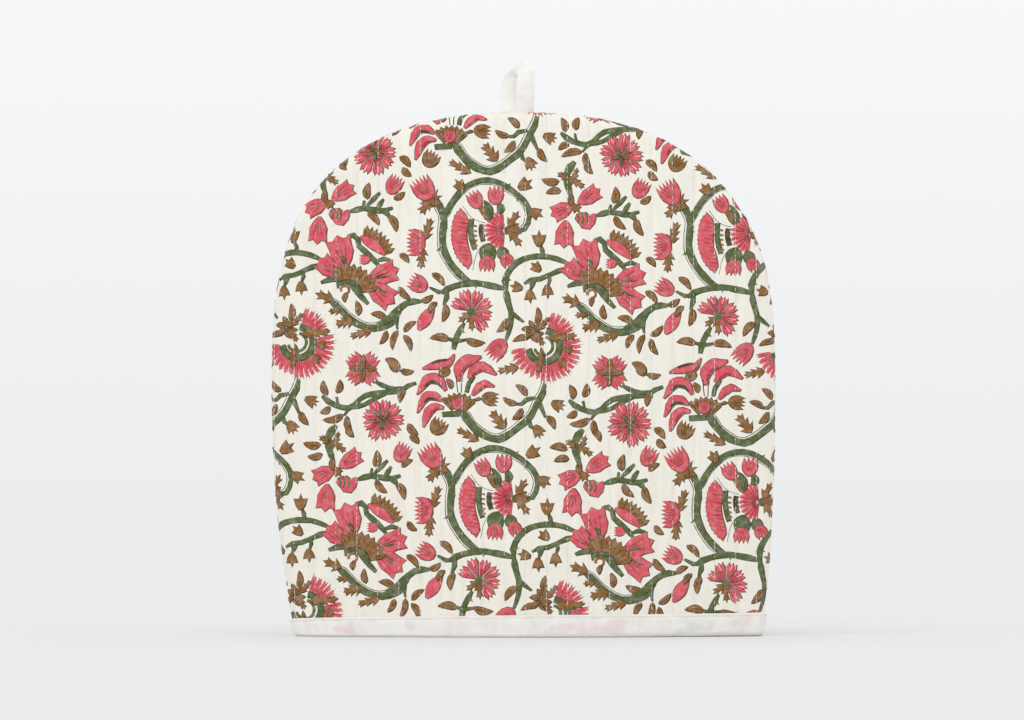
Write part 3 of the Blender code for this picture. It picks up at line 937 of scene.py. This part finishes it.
def finishCotton(maker, shader, colour, height, look):
    plug(shader, "Base Color", colour)
    shader.inputs["Sheen Weight"].default_value = look["sheen"]
    shader.inputs["Sheen Roughness"].default_value = 0.5
    shader.inputs["Specular IOR Level"].default_value = 0.25
    bump = maker.node("ShaderNodeBump", None, {"Height": height, "Strength": 0.9, "Distance": 1.0})
    plug(shader, "Normal", bump)


def printedCotton():
    material, maker, shader = newMaterial("printed cotton")
    uv, across, up = clothCoordinates(maker)
    ink = maker.node("ShaderNodeAttribute", {"attribute_type": "GEOMETRY", "attribute_name": "print"})
    cover = Signal(maker.tree, ink.socket.node.outputs["Alpha"])
    mottle, grain, slub, crease = (
        noiseOn(maker, uv, *cottonLook[kind]) for kind in ("mottle", "grain", "slub", "crease"))
    body, dry = cottonLook["inkBody"], cottonLook["inkDry"]
    density = cover * (body[0] + body[1] * mottle.between(0.28, 0.72))
    density = density * (dry[0] + dry[1] * grain.between(0.30, 0.44))
    density = density.maths("MINIMUM", density, 1.0)
    ground = (0.6 * slub + 0.4 * mottle).between(0.3, 0.7).blend(
        (*linear(cottonLook["groundShade"]), 1.0), (*linear(cottonLook["ground"]), 1.0))
    colour = density.blend(ground, ink)
    rowPlace = ((across - panels["quiltPhase"]) * (math.pi / panels["quiltPitch"])).sine().size()
    nearRow = 1.0 - rowPlace.between(0.05, 0.55)
    height = weaveOf(maker, across, up, cottonLook["threadPitch"]) * cottonLook["weaveHeight"]
    height = height + crease * nearRow * cottonLook["creaseHeight"]
    height = height + grain * (cottonLook["weaveHeight"] * 0.8)
    plug(shader, "Roughness", cottonLook["roughness"] + 0.08 * (grain - 0.5))
    finishCotton(maker, shader, colour, height, cottonLook)
    return material


def plainCotton(name, light, shade, pitch, weaveHeight, stain=None):
    material, maker, shader = newMaterial(name)
    uv, across, up = clothCoordinates(maker)
    mottle = noiseOn(maker, uv, 160.0, 4.0, 0.6)
    grain = noiseOn(maker, uv, 1400.0, 2.0, 0.6)
    slub = noiseOn(maker, uv, 120.0, 2.0, 0.5, (0.4, 3.0, 1.0))
    colour = (0.5 * mottle + 0.5 * slub).between(0.3, 0.7).blend((*linear(shade), 1.0), (*linear(light), 1.0))
    if stain:
        blotch = noiseOn(maker, uv, 90.0, 2.0, 0.55, (0.55, 1.9, 1.0)).between(0.54, 0.66) * 0.34
        other = noiseOn(maker, uv, 22.0, 1.0, 0.5, (1.0, 0.6, 1.0)).between(0.50, 0.62)
        tint = other.blend((*linear(stain[0]), 1.0), (*linear(stain[1]), 1.0))
        colour = blotch.blend(colour, tint)
    height = weaveOf(maker, across, up, pitch) * weaveHeight + mottle * (weaveHeight * 2.5)
    height = height + grain * weaveHeight
    plug(shader, "Roughness", 0.84 + 0.08 * (grain - 0.5))
    finishCotton(maker, shader, colour, height, cottonLook)
    return material


def threadMaterial():
    material, maker, shader = newMaterial("sewing thread")
    place = maker.node("ShaderNodeTexCoord", None, None, 3)
    fibre = noiseOn(maker, place, 2200.0, 2.0, 0.5)
    colour = fibre.between(0.3, 0.7).blend((*linear((226, 222, 212)), 1.0), (*linear((246, 244, 238)), 1.0))
    plug(shader, "Roughness", 0.55 + 0.15 * fibre)
    finishCotton(maker, shader, colour, fibre * 0.00005, cottonLook)
    return material


materials = {
    "print": printedCotton(),
    "lining": plainCotton("plain cotton lining", (244, 241, 233), (236, 232, 223), 0.00042, 0.00004),
    "binding": plainCotton("white cotton binding", (246, 244, 239), (235, 231, 225), 0.00045, 0.00005,
                           ((232, 190, 188), (196, 204, 196))),
    "tape": plainCotton("white cotton tape", (251, 249, 245), (244, 242, 237), 0.0006, 0.00007),
    "thread": threadMaterial(),
}
print("materials made")


def addMesh(name, verts, faces, uvs, slots, materialIndex=None, sharp=50.0):
    mesh = bpy.data.meshes.new(name)
    mesh.from_pydata([tuple(v) for v in verts], [], faces)
    for slot in slots:
        mesh.materials.append(slot)
    if uvs is not None:
        layer = mesh.uv_layers.new(name="cloth")
        corner = np.empty(len(mesh.loops), dtype=np.int32)
        mesh.loops.foreach_get("vertex_index", corner)
        flatUv = np.asarray(uvs, dtype=np.float32)
        flatUv = flatUv[corner] if len(flatUv) == len(verts) else flatUv
        layer.data.foreach_set("uv", np.ascontiguousarray(flatUv).ravel())
    if materialIndex is not None:
        mesh.polygons.foreach_set("material_index", np.asarray(materialIndex, dtype=np.int32))
    mesh.shade_smooth()
    mesh.set_sharp_from_angle(angle=math.radians(sharp))
    mesh.update()
    obj = bpy.data.objects.new(name, mesh)
    bpy.context.scene.collection.objects.link(obj)
    return obj


def boundaryLoop(triangles):
    # the one closed edge of a patch of triangles, in their own direction
    following = {}
    seen = {}
    for a, b, c in triangles:
        for edge in ((a, b), (b, c), (c, a)):
            seen[edge] = True
    for a, b in seen:
        if (b, a) not in seen:
            following[a] = b
    start = next(iter(following))
    loop = [start]
    while following[loop[-1]] != start:
        loop.append(following[loop[-1]])
    return loop


def insideOf(points, closed):
    # which points lie inside a closed line
    x, y = points[:, 0:1], points[:, 1:2]
    x0, y0 = closed[:, 0], closed[:, 1]
    x1, y1 = np.roll(x0, -1), np.roll(y0, -1)
    crosses = (y0 > y) != (y1 > y)
    rise = np.where(y1 == y0, 1.0, y1 - y0)
    return (crosses & (x < x0 + (y - y0) * (x1 - x0) / rise)).sum(axis=1) % 2 == 1


def cutPanel(panel, origin):
    # the flat pattern of a panel with the print cut into it: cloth points, triangles and their inks
    mm = 1000.0
    line = panel.cutLine
    hemCount = int((line[-1, 0] - line[0, 0]) / panels["hemStep"])
    hem = np.c_[np.linspace(line[-1, 0], line[0, 0], hemCount)[1:-1], np.full(hemCount - 2, form["foot"])]
    edge = np.concatenate((line, hem))[::-1]
    shapes = printOnCloth(origin, edge.min(0), edge.max(0))
    points = [edge] + [shape for _, shape in shapes]
    lines = []
    count = 0
    for closed in points:
        n = len(closed)
        lines += [(count + i, count + (i + 1) % n) for i in range(n)]
        count += n
    free = []
    for depth in panels["ringDepths"]:
        ring = line - outwards(line) * depth
        free.append(ring[ring[:, 1] > form["foot"] + panels["hemMargin"]])
    pitch = panels["quiltPitch"] / panels["columnsPerRow"]
    columns = np.arange(-80, 81) * pitch + panels["quiltPhase"]
    rows = np.arange(1, int(panels["clothTop"] / panels["rowStep"])) * panels["rowStep"] + form["foot"]
    grid = np.stack(np.meshgrid(columns, rows), axis=-1).reshape(-1, 2)
    away, _ = edgeOf(grid, panel.farLine)
    free.append(grid[away > panels["gridMargin"]])
    allPoints = np.concatenate(points + free) * mm
    cut = delaunay_2d_cdt([Vector(p) for p in allPoints], lines, [], 0, 1e-4)
    cloth = np.array([tuple(v) for v in cut[0]]) / mm
    triangles = np.array([tuple(face) for face in cut[2]])
    middles = cloth[triangles].mean(axis=1)
    triangles = triangles[insideOf(middles, edge)]
    middles = cloth[triangles].mean(axis=1)
    inkOf = np.full(len(triangles), -1)
    order = np.argsort(middles[:, 0])
    sortedX = middles[order, 0]
    for number, (_, shape) in enumerate(shapes):
        low, high = shape.min(0), shape.max(0)
        near = order[np.searchsorted(sortedX, low[0]):np.searchsorted(sortedX, high[0])]
        near = near[(middles[near, 1] > low[1]) & (middles[near, 1] < high[1])]
        if len(near):
            inkOf[near[insideOf(middles[near], shape)]] = number
    keep, renumbered = np.unique(triangles, return_inverse=True)
    triangles = [tuple(t) for t in renumbered.reshape(-1, 3).tolist()]
    return cloth[keep], triangles, [shapes[i][0] if i >= 0 else None for i in inkOf]


def sewPanel(name, side, origin):
    panel = Panel(side)
    cloth, triangles, inkOf = cutPanel(panel, origin)
    outer = panel.face(cloth)
    loop = boundaryLoop(triangles)
    # the lining has the outer face's rim and a plain grid inside it
    rim = panel.flat(cloth[loop])[0]
    rimEdge = edgeOf(rim, panel.farOutline)[0]
    step = panels["liningStep"]
    columns = np.arange(-100, 101) * panels["quiltPitch"] / 4 + panels["quiltPhase"]
    grid = np.stack(np.meshgrid(columns, np.arange(1, 60) * step + form["foot"]), axis=-1).reshape(-1, 2)
    gridEdge = edgeOf(grid, panel.farOutline)[0]
    inside = gridEdge > panels["liningMargin"]
    ring = panel.outline - outwards(panel.outline) * panels["liningRing"]
    ring = ring[ring[:, 1] > form["foot"] + 0.002]
    ringEdge = np.full(len(ring), panels["liningRing"])
    liningFlat = np.concatenate((rim, ring, grid[inside]))
    liningEdge = np.concatenate((np.clip(rimEdge, 0.0, None), ringEdge, gridEdge[inside]))
    liningPoints = [Vector(p) for p in liningFlat * 1000.0]
    cut = delaunay_2d_cdt(liningPoints, [], [list(range(len(rim)))], 0, 1e-7)
    sourceOf = [ids[0] if ids else -1 for ids in cut[3]]
    inner = panel.lining(liningFlat, liningEdge)
    base = len(outer)
    faces = list(triangles)
    faces += [tuple(base + sourceOf[i] for i in reversed(face)) for face, ids in zip(cut[2], cut[5]) if ids]
    liningCount = len(faces) - len(triangles)
    n = len(loop)
    for i in range(n):
        j = (i + 1) % n
        faces.append((loop[j], loop[i], base + i, base + j))
    verts = np.concatenate((outer, inner))
    uvs = np.concatenate((cloth, liningFlat))
    materialIndex = [0] * len(triangles) + [1] * (liningCount + n)
    obj = addMesh(name, verts, faces, uvs, (materials["print"], materials["lining"]), materialIndex)
    layer = obj.data.color_attributes.new(name="print", type="FLOAT_COLOR", domain="CORNER")
    colours = np.ones((len(obj.data.loops), 4), dtype=np.float32)
    colours[:, 3] = 0.0
    chosen = {ink: (*linear(rgb), 1.0) for ink, rgb in inks.items()}
    for i, ink in enumerate(inkOf):
        if ink:
            colours[3 * i:3 * i + 3] = chosen[ink]
    layer.data.foreach_set("color", colours.ravel())
    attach(obj, "root")
    print(name, len(triangles), "printed triangles,", liningCount, "lining")
    return obj, panel


frontCloth, frontPanel = sewPanel("front_cloth", 1, chart["origin"])
backCloth, backPanel = sewPanel("back_cloth", -1, chart["backOrigin"])
print("panels sewn")

# Stitches, laid along lines by Geometry Nodes
stitching = {
    "spacing": 0.0030,
    "halfLength": 0.00142,
    "threadRadius": 0.00022,
    "unevenness": 0.10,
    "seed": 7,
    "lift": 0.00008,
    "startHeight": 0.0085,
    "seamMargin": 0.0022,
    "lineStep": 0.0015,
}

stitchInputs = {
    "Stitch Spacing": "spacing",
    "Half Length": "halfLength",
    "Thread Radius": "threadRadius",
    "Unevenness": "unevenness",
    "Seed": "seed",
}


def stitchTree(material):
    tree = bpy.data.node_groups.new("stitches along a line", "GeometryNodeTree")
    face = tree.interface
    face.new_socket("Lines", in_out="INPUT", socket_type="NodeSocketGeometry")
    inputs = {}
    for label in stitchInputs:
        kind = "NodeSocketInt" if label == "Seed" else "NodeSocketFloat"
        inputs[label] = face.new_socket(label, in_out="INPUT", socket_type=kind).identifier
    face.new_socket("Stitches", in_out="OUTPUT", socket_type="NodeSocketGeometry")
    given = tree.nodes.new("NodeGroupInput")
    wanted = {socket.name: Signal(tree, socket) for socket in given.outputs if socket.name}
    maker = Signal(tree)
    curve = maker.node("GeometryNodeMeshToCurve", None, {0: wanted["Lines"]})
    spacing = {"Curve": curve, "Length": wanted["Stitch Spacing"]}
    even = maker.node("GeometryNodeResampleCurve", {"mode": "LENGTH"}, spacing)
    stitch = maker.node("GeometryNodeMeshUVSphere", None, {"Segments": 6, "Rings": 4, "Radius": 1.0})
    along = maker.node("GeometryNodeInputTangent")
    aim = maker.node("FunctionNodeAlignRotationToVector", {"axis": "Z"}, {"Vector": along})
    limits = {2: 1.0 - wanted["Unevenness"], 3: 1.0, "Seed": wanted["Seed"]}
    chance = maker.node("FunctionNodeRandomValue", {"data_type": "FLOAT"}, limits, 1)
    radius = wanted["Thread Radius"]
    size = maker.node("ShaderNodeCombineXYZ", None, {0: radius, 1: radius, 2: wanted["Half Length"] * chance})
    placing = {"Points": even, "Instance": stitch, "Rotation": aim, "Scale": size}
    laid = maker.node("GeometryNodeInstanceOnPoints", None, placing)
    real = maker.node("GeometryNodeRealizeInstances", None, {0: laid})
    smooth = maker.node("GeometryNodeSetShadeSmooth", None, {"Geometry": real})
    painted = maker.node("GeometryNodeSetMaterial", None, {"Geometry": smooth, "Material": material})
    tree.links.new(painted.socket, tree.nodes.new("NodeGroupOutput").inputs[0])
    return tree, inputs


threadTree, threadInputs = stitchTree(materials["thread"])


def sewLines(name, lines):
    verts = [tuple(p) for line in lines for p in line]
    edges = []
    first = 0
    for line in lines:
        edges += [(first + i, first + i + 1) for i in range(len(line) - 1)]
        first += len(line)
    guide = bpy.data.meshes.new(name + "_lines")
    guide.from_pydata(verts, edges, [])
    obj = bpy.data.objects.new(name, guide)
    bpy.context.scene.collection.objects.link(obj)
    modifier = obj.modifiers.new("stitches", "NODES")
    modifier.node_group = threadTree
    for label, key in stitchInputs.items():
        modifier[threadInputs[label]] = stitching[key]
    ready = obj.evaluated_get(bpy.context.evaluated_depsgraph_get())
    mesh = bpy.data.meshes.new_from_object(ready)
    obj.modifiers.remove(modifier)
    obj.data = mesh
    if not mesh.materials:
        mesh.materials.append(materials["thread"])
    mesh.name = name
    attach(obj, "root")
    print(name, len(mesh.polygons), "faces")
    return obj


def quiltLines(panel):
    pitch = panels["quiltPitch"]
    lines = []
    for k in range(-13, 14):
        x = k * pitch + panels["quiltPhase"]
        z = np.arange(stitching["startHeight"], panels["clothTop"], stitching["lineStep"])
        cloth = np.c_[np.full(len(z), x), z]
        away, _ = edgeOf(cloth, panel.farLine)
        cloth = cloth[away > stitching["seamMargin"]]
        if len(cloth) > 6:
            lines.append(panel.face(cloth, stitching["lift"]))
    return lines


frontStitches = sewLines("front_quilting", quiltLines(frontPanel))
backStitches = sewLines("back_quilting", quiltLines(backPanel))

# The binding, one strip folded over the open hem
binding = {
    "cloth": 0.0011,
    "gap": 0.0003,
    "innerHeight": 0.0100,
    "stations": 150,
    "topEdge": 0.0006,
    "stitchBelowTop": 0.0018,
    "stitchDip": 0.0004,
    "frontTop": ((-1.0, 0.0104), (0.0, 0.0136), (1.0, 0.0145)),
    "backTop": ((-1.0, 0.0145), (0.0, 0.0122), (1.0, 0.0104)),
    "bottomRound": ((-1.0, 0.0052), (-0.93, 0.0030), (-0.80, 0.0014),
                    (0.0, 0.0024), (0.7, 0.0040), (1.0, 0.0032)),
    "wobbles": ((0.00018, 41.0, 1.0), (0.00012, 97.0, 2.0)),  # size, rate, shift between front and back
}


def hemSection(share, side):
    # (inset from the outer face, height) in order round the folded cloth
    table = binding["frontTop"] if side > 0 else binding["backTop"]
    top = float(np.interp(share, [t[0] for t in table], [t[1] for t in table]))
    absolute = share if side > 0 else -share
    round_ = float(np.interp(absolute, *zip(*binding["bottomRound"])))
    out = -(binding["gap"] + binding["cloth"])
    inside = form["wall"] + binding["gap"] + binding["cloth"]
    edge = binding["topEdge"]
    dip = binding["stitchDip"]
    line = top - binding["stitchBelowTop"]
    section = []
    for k in range(7):
        a = 0.5 * math.pi * k / 6
        section.append((out + round_ * (1.0 - math.sin(a)), round_ * (1.0 - math.cos(a))))
    section += [
        (out, round_ + 0.35 * (line - round_)),
        (out - 0.0001, round_ + 0.70 * (line - round_)),
        (out, line - 0.0010),
        (out + dip * 0.5, line - 0.0004),
        (out + dip, line),
        (out + dip * 0.45, line + 0.0004),
        (out + 0.0001, line + 0.0009),
        (out + 0.0002, top - edge),
        (out + 0.0004, top - 0.3 * edge),
        (out + 0.0007, top),
        (-binding["gap"] * 0.7, top - 0.0002),
        (-binding["gap"] * 0.7, binding["cloth"]),
        (form["wall"] + binding["gap"], binding["cloth"]),
        (form["wall"] + binding["gap"], binding["innerHeight"]),
        (inside - 0.0004, binding["innerHeight"]),
        (inside, binding["innerHeight"] - 0.0005),
        (inside, 0.0012),
        (inside - 0.0004, 0.0003),
        (inside - 0.0011, 0.0),
    ]
    return section


def hemPoint(share, side, inset, z):
    # a point that lies an inset inside the outer face of the panel, near its hem
    half = float(halfWidth(z))
    xs = half * math.sin(0.5 * math.pi * share)
    edge = half - abs(xs)
    roll = max(form["roll"] - inset, form["leastRoll"])
    depth = form["roll"] + float(bulgeAt(z)) - inset - roll
    rolled = math.sqrt(1.0 - (1.0 - min(edge / form["roll"], 1.0)) ** 2)
    y = roll * rolled + (depth + float(waveAt(xs, z, side))) * float(crownShare(np.array(xs), np.array(z)))
    x = xs * (form["bellyHalf"] - inset) / form["bellyHalf"] + float(centreShift(np.array(z)))
    return (x, -side * (y + 0.00015), z)


def foldBinding():
    n = binding["stations"]
    stations = [(1, 2.0 * i / n - 1.0) for i in range(n + 1)] + [(-1, 1.0 - 2.0 * i / n) for i in range(1, n)]
    verts = []
    rows = []
    for side, share in stations:
        section = hemSection(share if side > 0 else -share, side)
        wobble = sum(size * math.sin(share * rate + shift * side) for size, rate, shift in binding["wobbles"])
        for k, (inset, z) in enumerate(section):
            near = 1.0 if 6 < k < 16 else 0.0
            verts.append(hemPoint(share, side, inset + wobble * near, z))
        rows.append(section)
    size = len(rows[0])
    faces = []
    uvs = []
    girth = [0.0]
    for (i0, z0), (i1, z1) in zip(rows[0], rows[0][1:] + rows[0][:1]):
        girth.append(girth[-1] + math.hypot(i1 - i0, z1 - z0))
    around = [0.0]
    count = len(rows)
    for s in range(count):
        a = verts[s * size + 8]
        b = verts[((s + 1) % count) * size + 8]
        around.append(around[-1] + math.dist(a, b))
    for s in range(count):
        t = (s + 1) % count
        for k in range(size):
            m = (k + 1) % size
            faces.append((s * size + k, t * size + k, t * size + m, s * size + m))
            uvs += [(around[s], girth[k]), (around[s + 1], girth[k]), (around[s + 1], girth[k + 1]),
                    (around[s], girth[k + 1])]
    obj = addMesh("binding_cloth", verts, faces, uvs, (materials["binding"],), None, 60.0)
    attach(obj, "root")
    line = []
    for side, share in stations + stations[:1]:
        section = hemSection(share if side > 0 else -share, side)
        line.append(hemPoint(share, side, section[11][0] - 0.00006, section[11][1]))
    return obj, line, around[-1]


bindingCloth, topLine, mouthRound = foldBinding()
bindingStitches = sewLines("binding_stitching", [topLine])
print("binding folded, mouth", round(mouthRound, 4))

# The hanging loop: a flat tape that rises behind, folds over at the point and comes down in front
loop = {
    "thickness": 0.0013,
    "foot": 0.0004,
    "middle": -0.0040,
    "steps": 5,
    "across": 10,
    "width": 0.0105,
    "edge": 0.001,
    # in mm: inner edge, outer edge, how far in front of the seam, and how far the outer and then the
    # inner edge turn back
    "sections": (
        (-0.9, -2.0, -10.6, -2.0, -0.9, 0.3, 0.0),
        (-0.9, 0.0, -10.6, 0.0, -1.1, 0.3, 0.0),
        (-0.7, 4.0, -10.7, 4.0, -2.5, 0.3, 0.3),
        (-0.3, 8.0, -10.7, 8.0, -3.7, 0.4, 1.2),
        (0.2, 12.0, -10.5, 12.0, -4.2, 0.5, 1.6),
        (0.6, 16.0, -10.0, 15.6, -4.5, 0.6, 1.2),
        (0.7, 20.0, -9.2, 18.6, -4.2, 0.6, 0.9),
        (0.2, 22.3, -7.9, 21.6, -3.7, 0.4, 0.6),
        (-1.4, 22.8, -4.8, 24.9, -2.7, 0.2, 0.6),
        (-1.2, 22.7, 0.2, 28.5, -1.4, 0.1, 0.1),
        (-0.2, 22.6, 5.4, 31.8, 0.2, 0.1, 0.0),
        (0.6, 22.6, 8.4, 28.6, 1.7, 0.5, 0.0),
        (0.6, 21.6, 10.3, 25.0, 3.2, 1.0, 0.0),
        (0.0, 20.0, 10.6, 20.6, 4.0, 1.5, 0.0),
        (-0.4, 16.0, 10.6, 16.0, 4.5, 1.9, 0.0),
        (-0.6, 12.0, 10.6, 12.0, 4.2, 1.9, 0.0),
        (-0.7, 8.0, 10.5, 8.0, 3.7, 1.8, 0.0),
        (-0.8, 4.0, 10.4, 4.0, 2.5, 1.5, 0.0),
        (-0.9, 0.0, 10.3, 0.0, 1.1, 1.0, 0.0),
        (-0.9, -2.0, 10.3, -2.0, 0.9, 0.9, 0.0),
    ),
}


def foldLoop():
    table = np.array(loop["sections"], float)
    ends = np.concatenate(([2 * table[0] - table[1]], table, [2 * table[-1] - table[-2]]))
    rows = []
    for a, b, c, d in zip(ends, ends[1:], ends[2:], ends[3:]):
        for i in range(loop["steps"]):
            t = i / loop["steps"]
            bend = (2 * a - 5 * b + 4 * c - d) * t * t + (3 * b - a - 3 * c + d) * t**3
            rows.append(0.5 * (2 * b + (c - a) * t + bend))
    rows.append(table[-1])
    half = loop["thickness"] / 2.0
    foot = form["crownHeight"] + loop["foot"]
    n = loop["across"]
    verts = []
    along = [0.0]
    previous = None
    for row in rows:
        inner, outer = row[0:2] / 1000.0, row[2:4] / 1000.0
        middle = 0.5 * (inner + outer)
        if previous is not None:
            along.append(along[-1] + math.hypot(*(middle - previous[0]), row[4] / 1000.0 - previous[1]))
        previous = (middle, row[4] / 1000.0)
        section = []
        for face in (-1.0, 1.0):
            order = range(n + 1) if face < 0 else range(n, -1, -1)
            for k in order:
                s = k / n
                place = inner + (outer - inner) * s
                thin = 1.0 - 0.55 * (abs(2.0 * s - 1.0) ** 8)
                outerTurn = row[5] * float(smoothStep(s, 0.62, 1.0))
                innerTurn = row[6] * float(1.0 - smoothStep(s, 0.0, 0.26))
                back = (outerTurn + innerTurn) / 1000.0
                crease = 0.00012 * math.sin(s * 9.0 + along[-1] * 420.0)
                crease += 0.0001 * math.sin(along[-1] * 900.0)
                y = -row[4] / 1000.0 + back + crease + face * half * thin
                section.append((loop["middle"] + place[0], y, foot + place[1]))
        verts.append(section)
    size = len(verts[0])
    faces = []
    uvs = []
    width, edge = loop["width"], loop["edge"]
    girth = [width * k / n for k in range(n + 1)] + [width + edge + width * k / n for k in range(n + 1)]
    girth.append(girth[-1] + edge)
    for r in range(len(verts) - 1):
        for k in range(size):
            m = (k + 1) % size
            faces.append((r * size + k, r * size + m, (r + 1) * size + m, (r + 1) * size + k))
            uvs += [(girth[k], along[r]), (girth[k + 1], along[r]), (girth[k + 1], along[r + 1]),
                    (girth[k], along[r + 1])]
    last = (len(verts) - 1) * size
    for k in range(n):
        other = 2 * n + 1 - k
        faces.append((k + 1, k, other, other - 1))
        faces.append((last + k, last + k + 1, last + other - 1, last + other))
        for _ in range(2):
            thick = loop["thickness"]
            uvs += [(girth[k + 1], 0.0), (girth[k], 0.0), (girth[k], thick), (girth[k + 1], thick)]
    points = [point for section in verts for point in section]
    obj = addMesh("loop_tape_folded", points, faces, uvs, (materials["tape"],), None, 60.0)
    made = bmesh.new()
    made.from_mesh(obj.data)
    bmesh.ops.recalc_face_normals(made, faces=made.faces)
    made.to_mesh(obj.data)
    made.free()
    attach(obj, "root")
    return obj, along[-1]


loopTape, tapeLength = foldLoop()
print("loop folded, tape", round(tapeLength, 4))

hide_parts("front_panel")
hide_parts("back_panel")
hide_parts("hem_binding")
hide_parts("hanging_loop")

# The studio: a pale floor whose colour is painted paler up the sweep as painted light, a pale surround and
# soft light
studio = {
    "floorReach": 9.6,
    "sweepRadius": 4.2,
    "wallHeight": 12.0,
    "floor": (0.800, 0.808, 0.812),
    # the colour the sweep is painted towards at its top, paler than the floor: painted light
    "wall": (0.876, 0.877, 0.880),
    "surround": (0.905, 0.912, 0.924),
    "surroundStrength": 1.0,
    "keyStrength": 0.55,
    "keySoftness": 70.0,
    "keyTurn": (38.0, -14.0, 0.0),
    "eyeDistance": 8.0,
    "frameWidth": 0.6195,  # metres seen across the frame at the seam
    "eyeAcross": -0.0070,
    "eyeHeight": 0.1670,
}


def makeStudio():
    scene = bpy.context.scene
    scene.view_settings.view_transform = "Standard"
    material, maker, shader = newMaterial("pale floor with painted light")
    place = maker.node("ShaderNodeTexCoord", None, None, 3)
    height = Signal(maker.tree, maker.node("ShaderNodeSeparateXYZ", None, {0: place}).socket.node.outputs[2])
    # the colour turns paler with height up the sweep: painted light on the backdrop
    paintedLightUpSweep = height.between(0.0, 0.9)
    plug(shader, "Base Color", paintedLightUpSweep.blend((*studio["floor"], 1.0), (*studio["wall"], 1.0)))
    shader.inputs["Roughness"].default_value = 1.0
    shader.inputs["Specular IOR Level"].default_value = 0.0
    reach, bend = studio["floorReach"], studio["sweepRadius"]
    sweep = np.linspace(0, math.pi / 2, 25)
    curve = [(reach + bend * math.sin(a), bend * (1.0 - math.cos(a))) for a in sweep]
    surfaces = {"floor": [(0.0, 0.0), (reach, 0.0)], "sweep": curve + [(reach + bend, studio["wallHeight"])]}
    for name, profile in surfaces.items():
        verts = []
        faces = []
        turns = 128
        for radius, height in profile:
            verts += [(radius * math.cos(a), radius * math.sin(a), height)
                      for a in np.linspace(0.0, 2.0 * math.pi, turns, endpoint=False)]
        for row in range(len(profile) - 1):
            for k in range(turns):
                m = (k + 1) % turns
                low, high = row * turns, (row + 1) * turns
                faces.append((low + k, high + k, high + m, low + m))
        surface = addMesh(name, verts, faces, None, (material,))
        if name == "sweep":
            surface.visible_diffuse = False
            surface.visible_glossy = False
            surface.visible_shadow = False
    world = bpy.data.worlds.new("surround")
    world.use_nodes = True
    ground = world.node_tree.nodes["Background"]
    ground.inputs["Color"].default_value = (*studio["surround"], 1.0)
    ground.inputs["Strength"].default_value = studio["surroundStrength"]
    scene.world = world
    lamp = bpy.data.lights.new("key", "SUN")
    lamp.energy = studio["keyStrength"]
    lamp.angle = math.radians(studio["keySoftness"])
    key = bpy.data.objects.new("key", lamp)
    key.rotation_euler = tuple(math.radians(a) for a in studio["keyTurn"])
    scene.collection.objects.link(key)
    camera = bpy.data.cameras.new("camera")
    camera.sensor_width = 36.0
    camera.lens = 36.0 * studio["eyeDistance"] / studio["frameWidth"]
    camera.clip_end = 200.0
    eye = bpy.data.objects.new("camera", camera)
    eye.location = (studio["eyeAcross"], -studio["eyeDistance"], studio["eyeHeight"])
    eye.rotation_euler = (math.radians(90.0), 0.0, 0.0)
    scene.collection.objects.link(eye)
    scene.camera = eye


makeStudio()
print("studio ready")
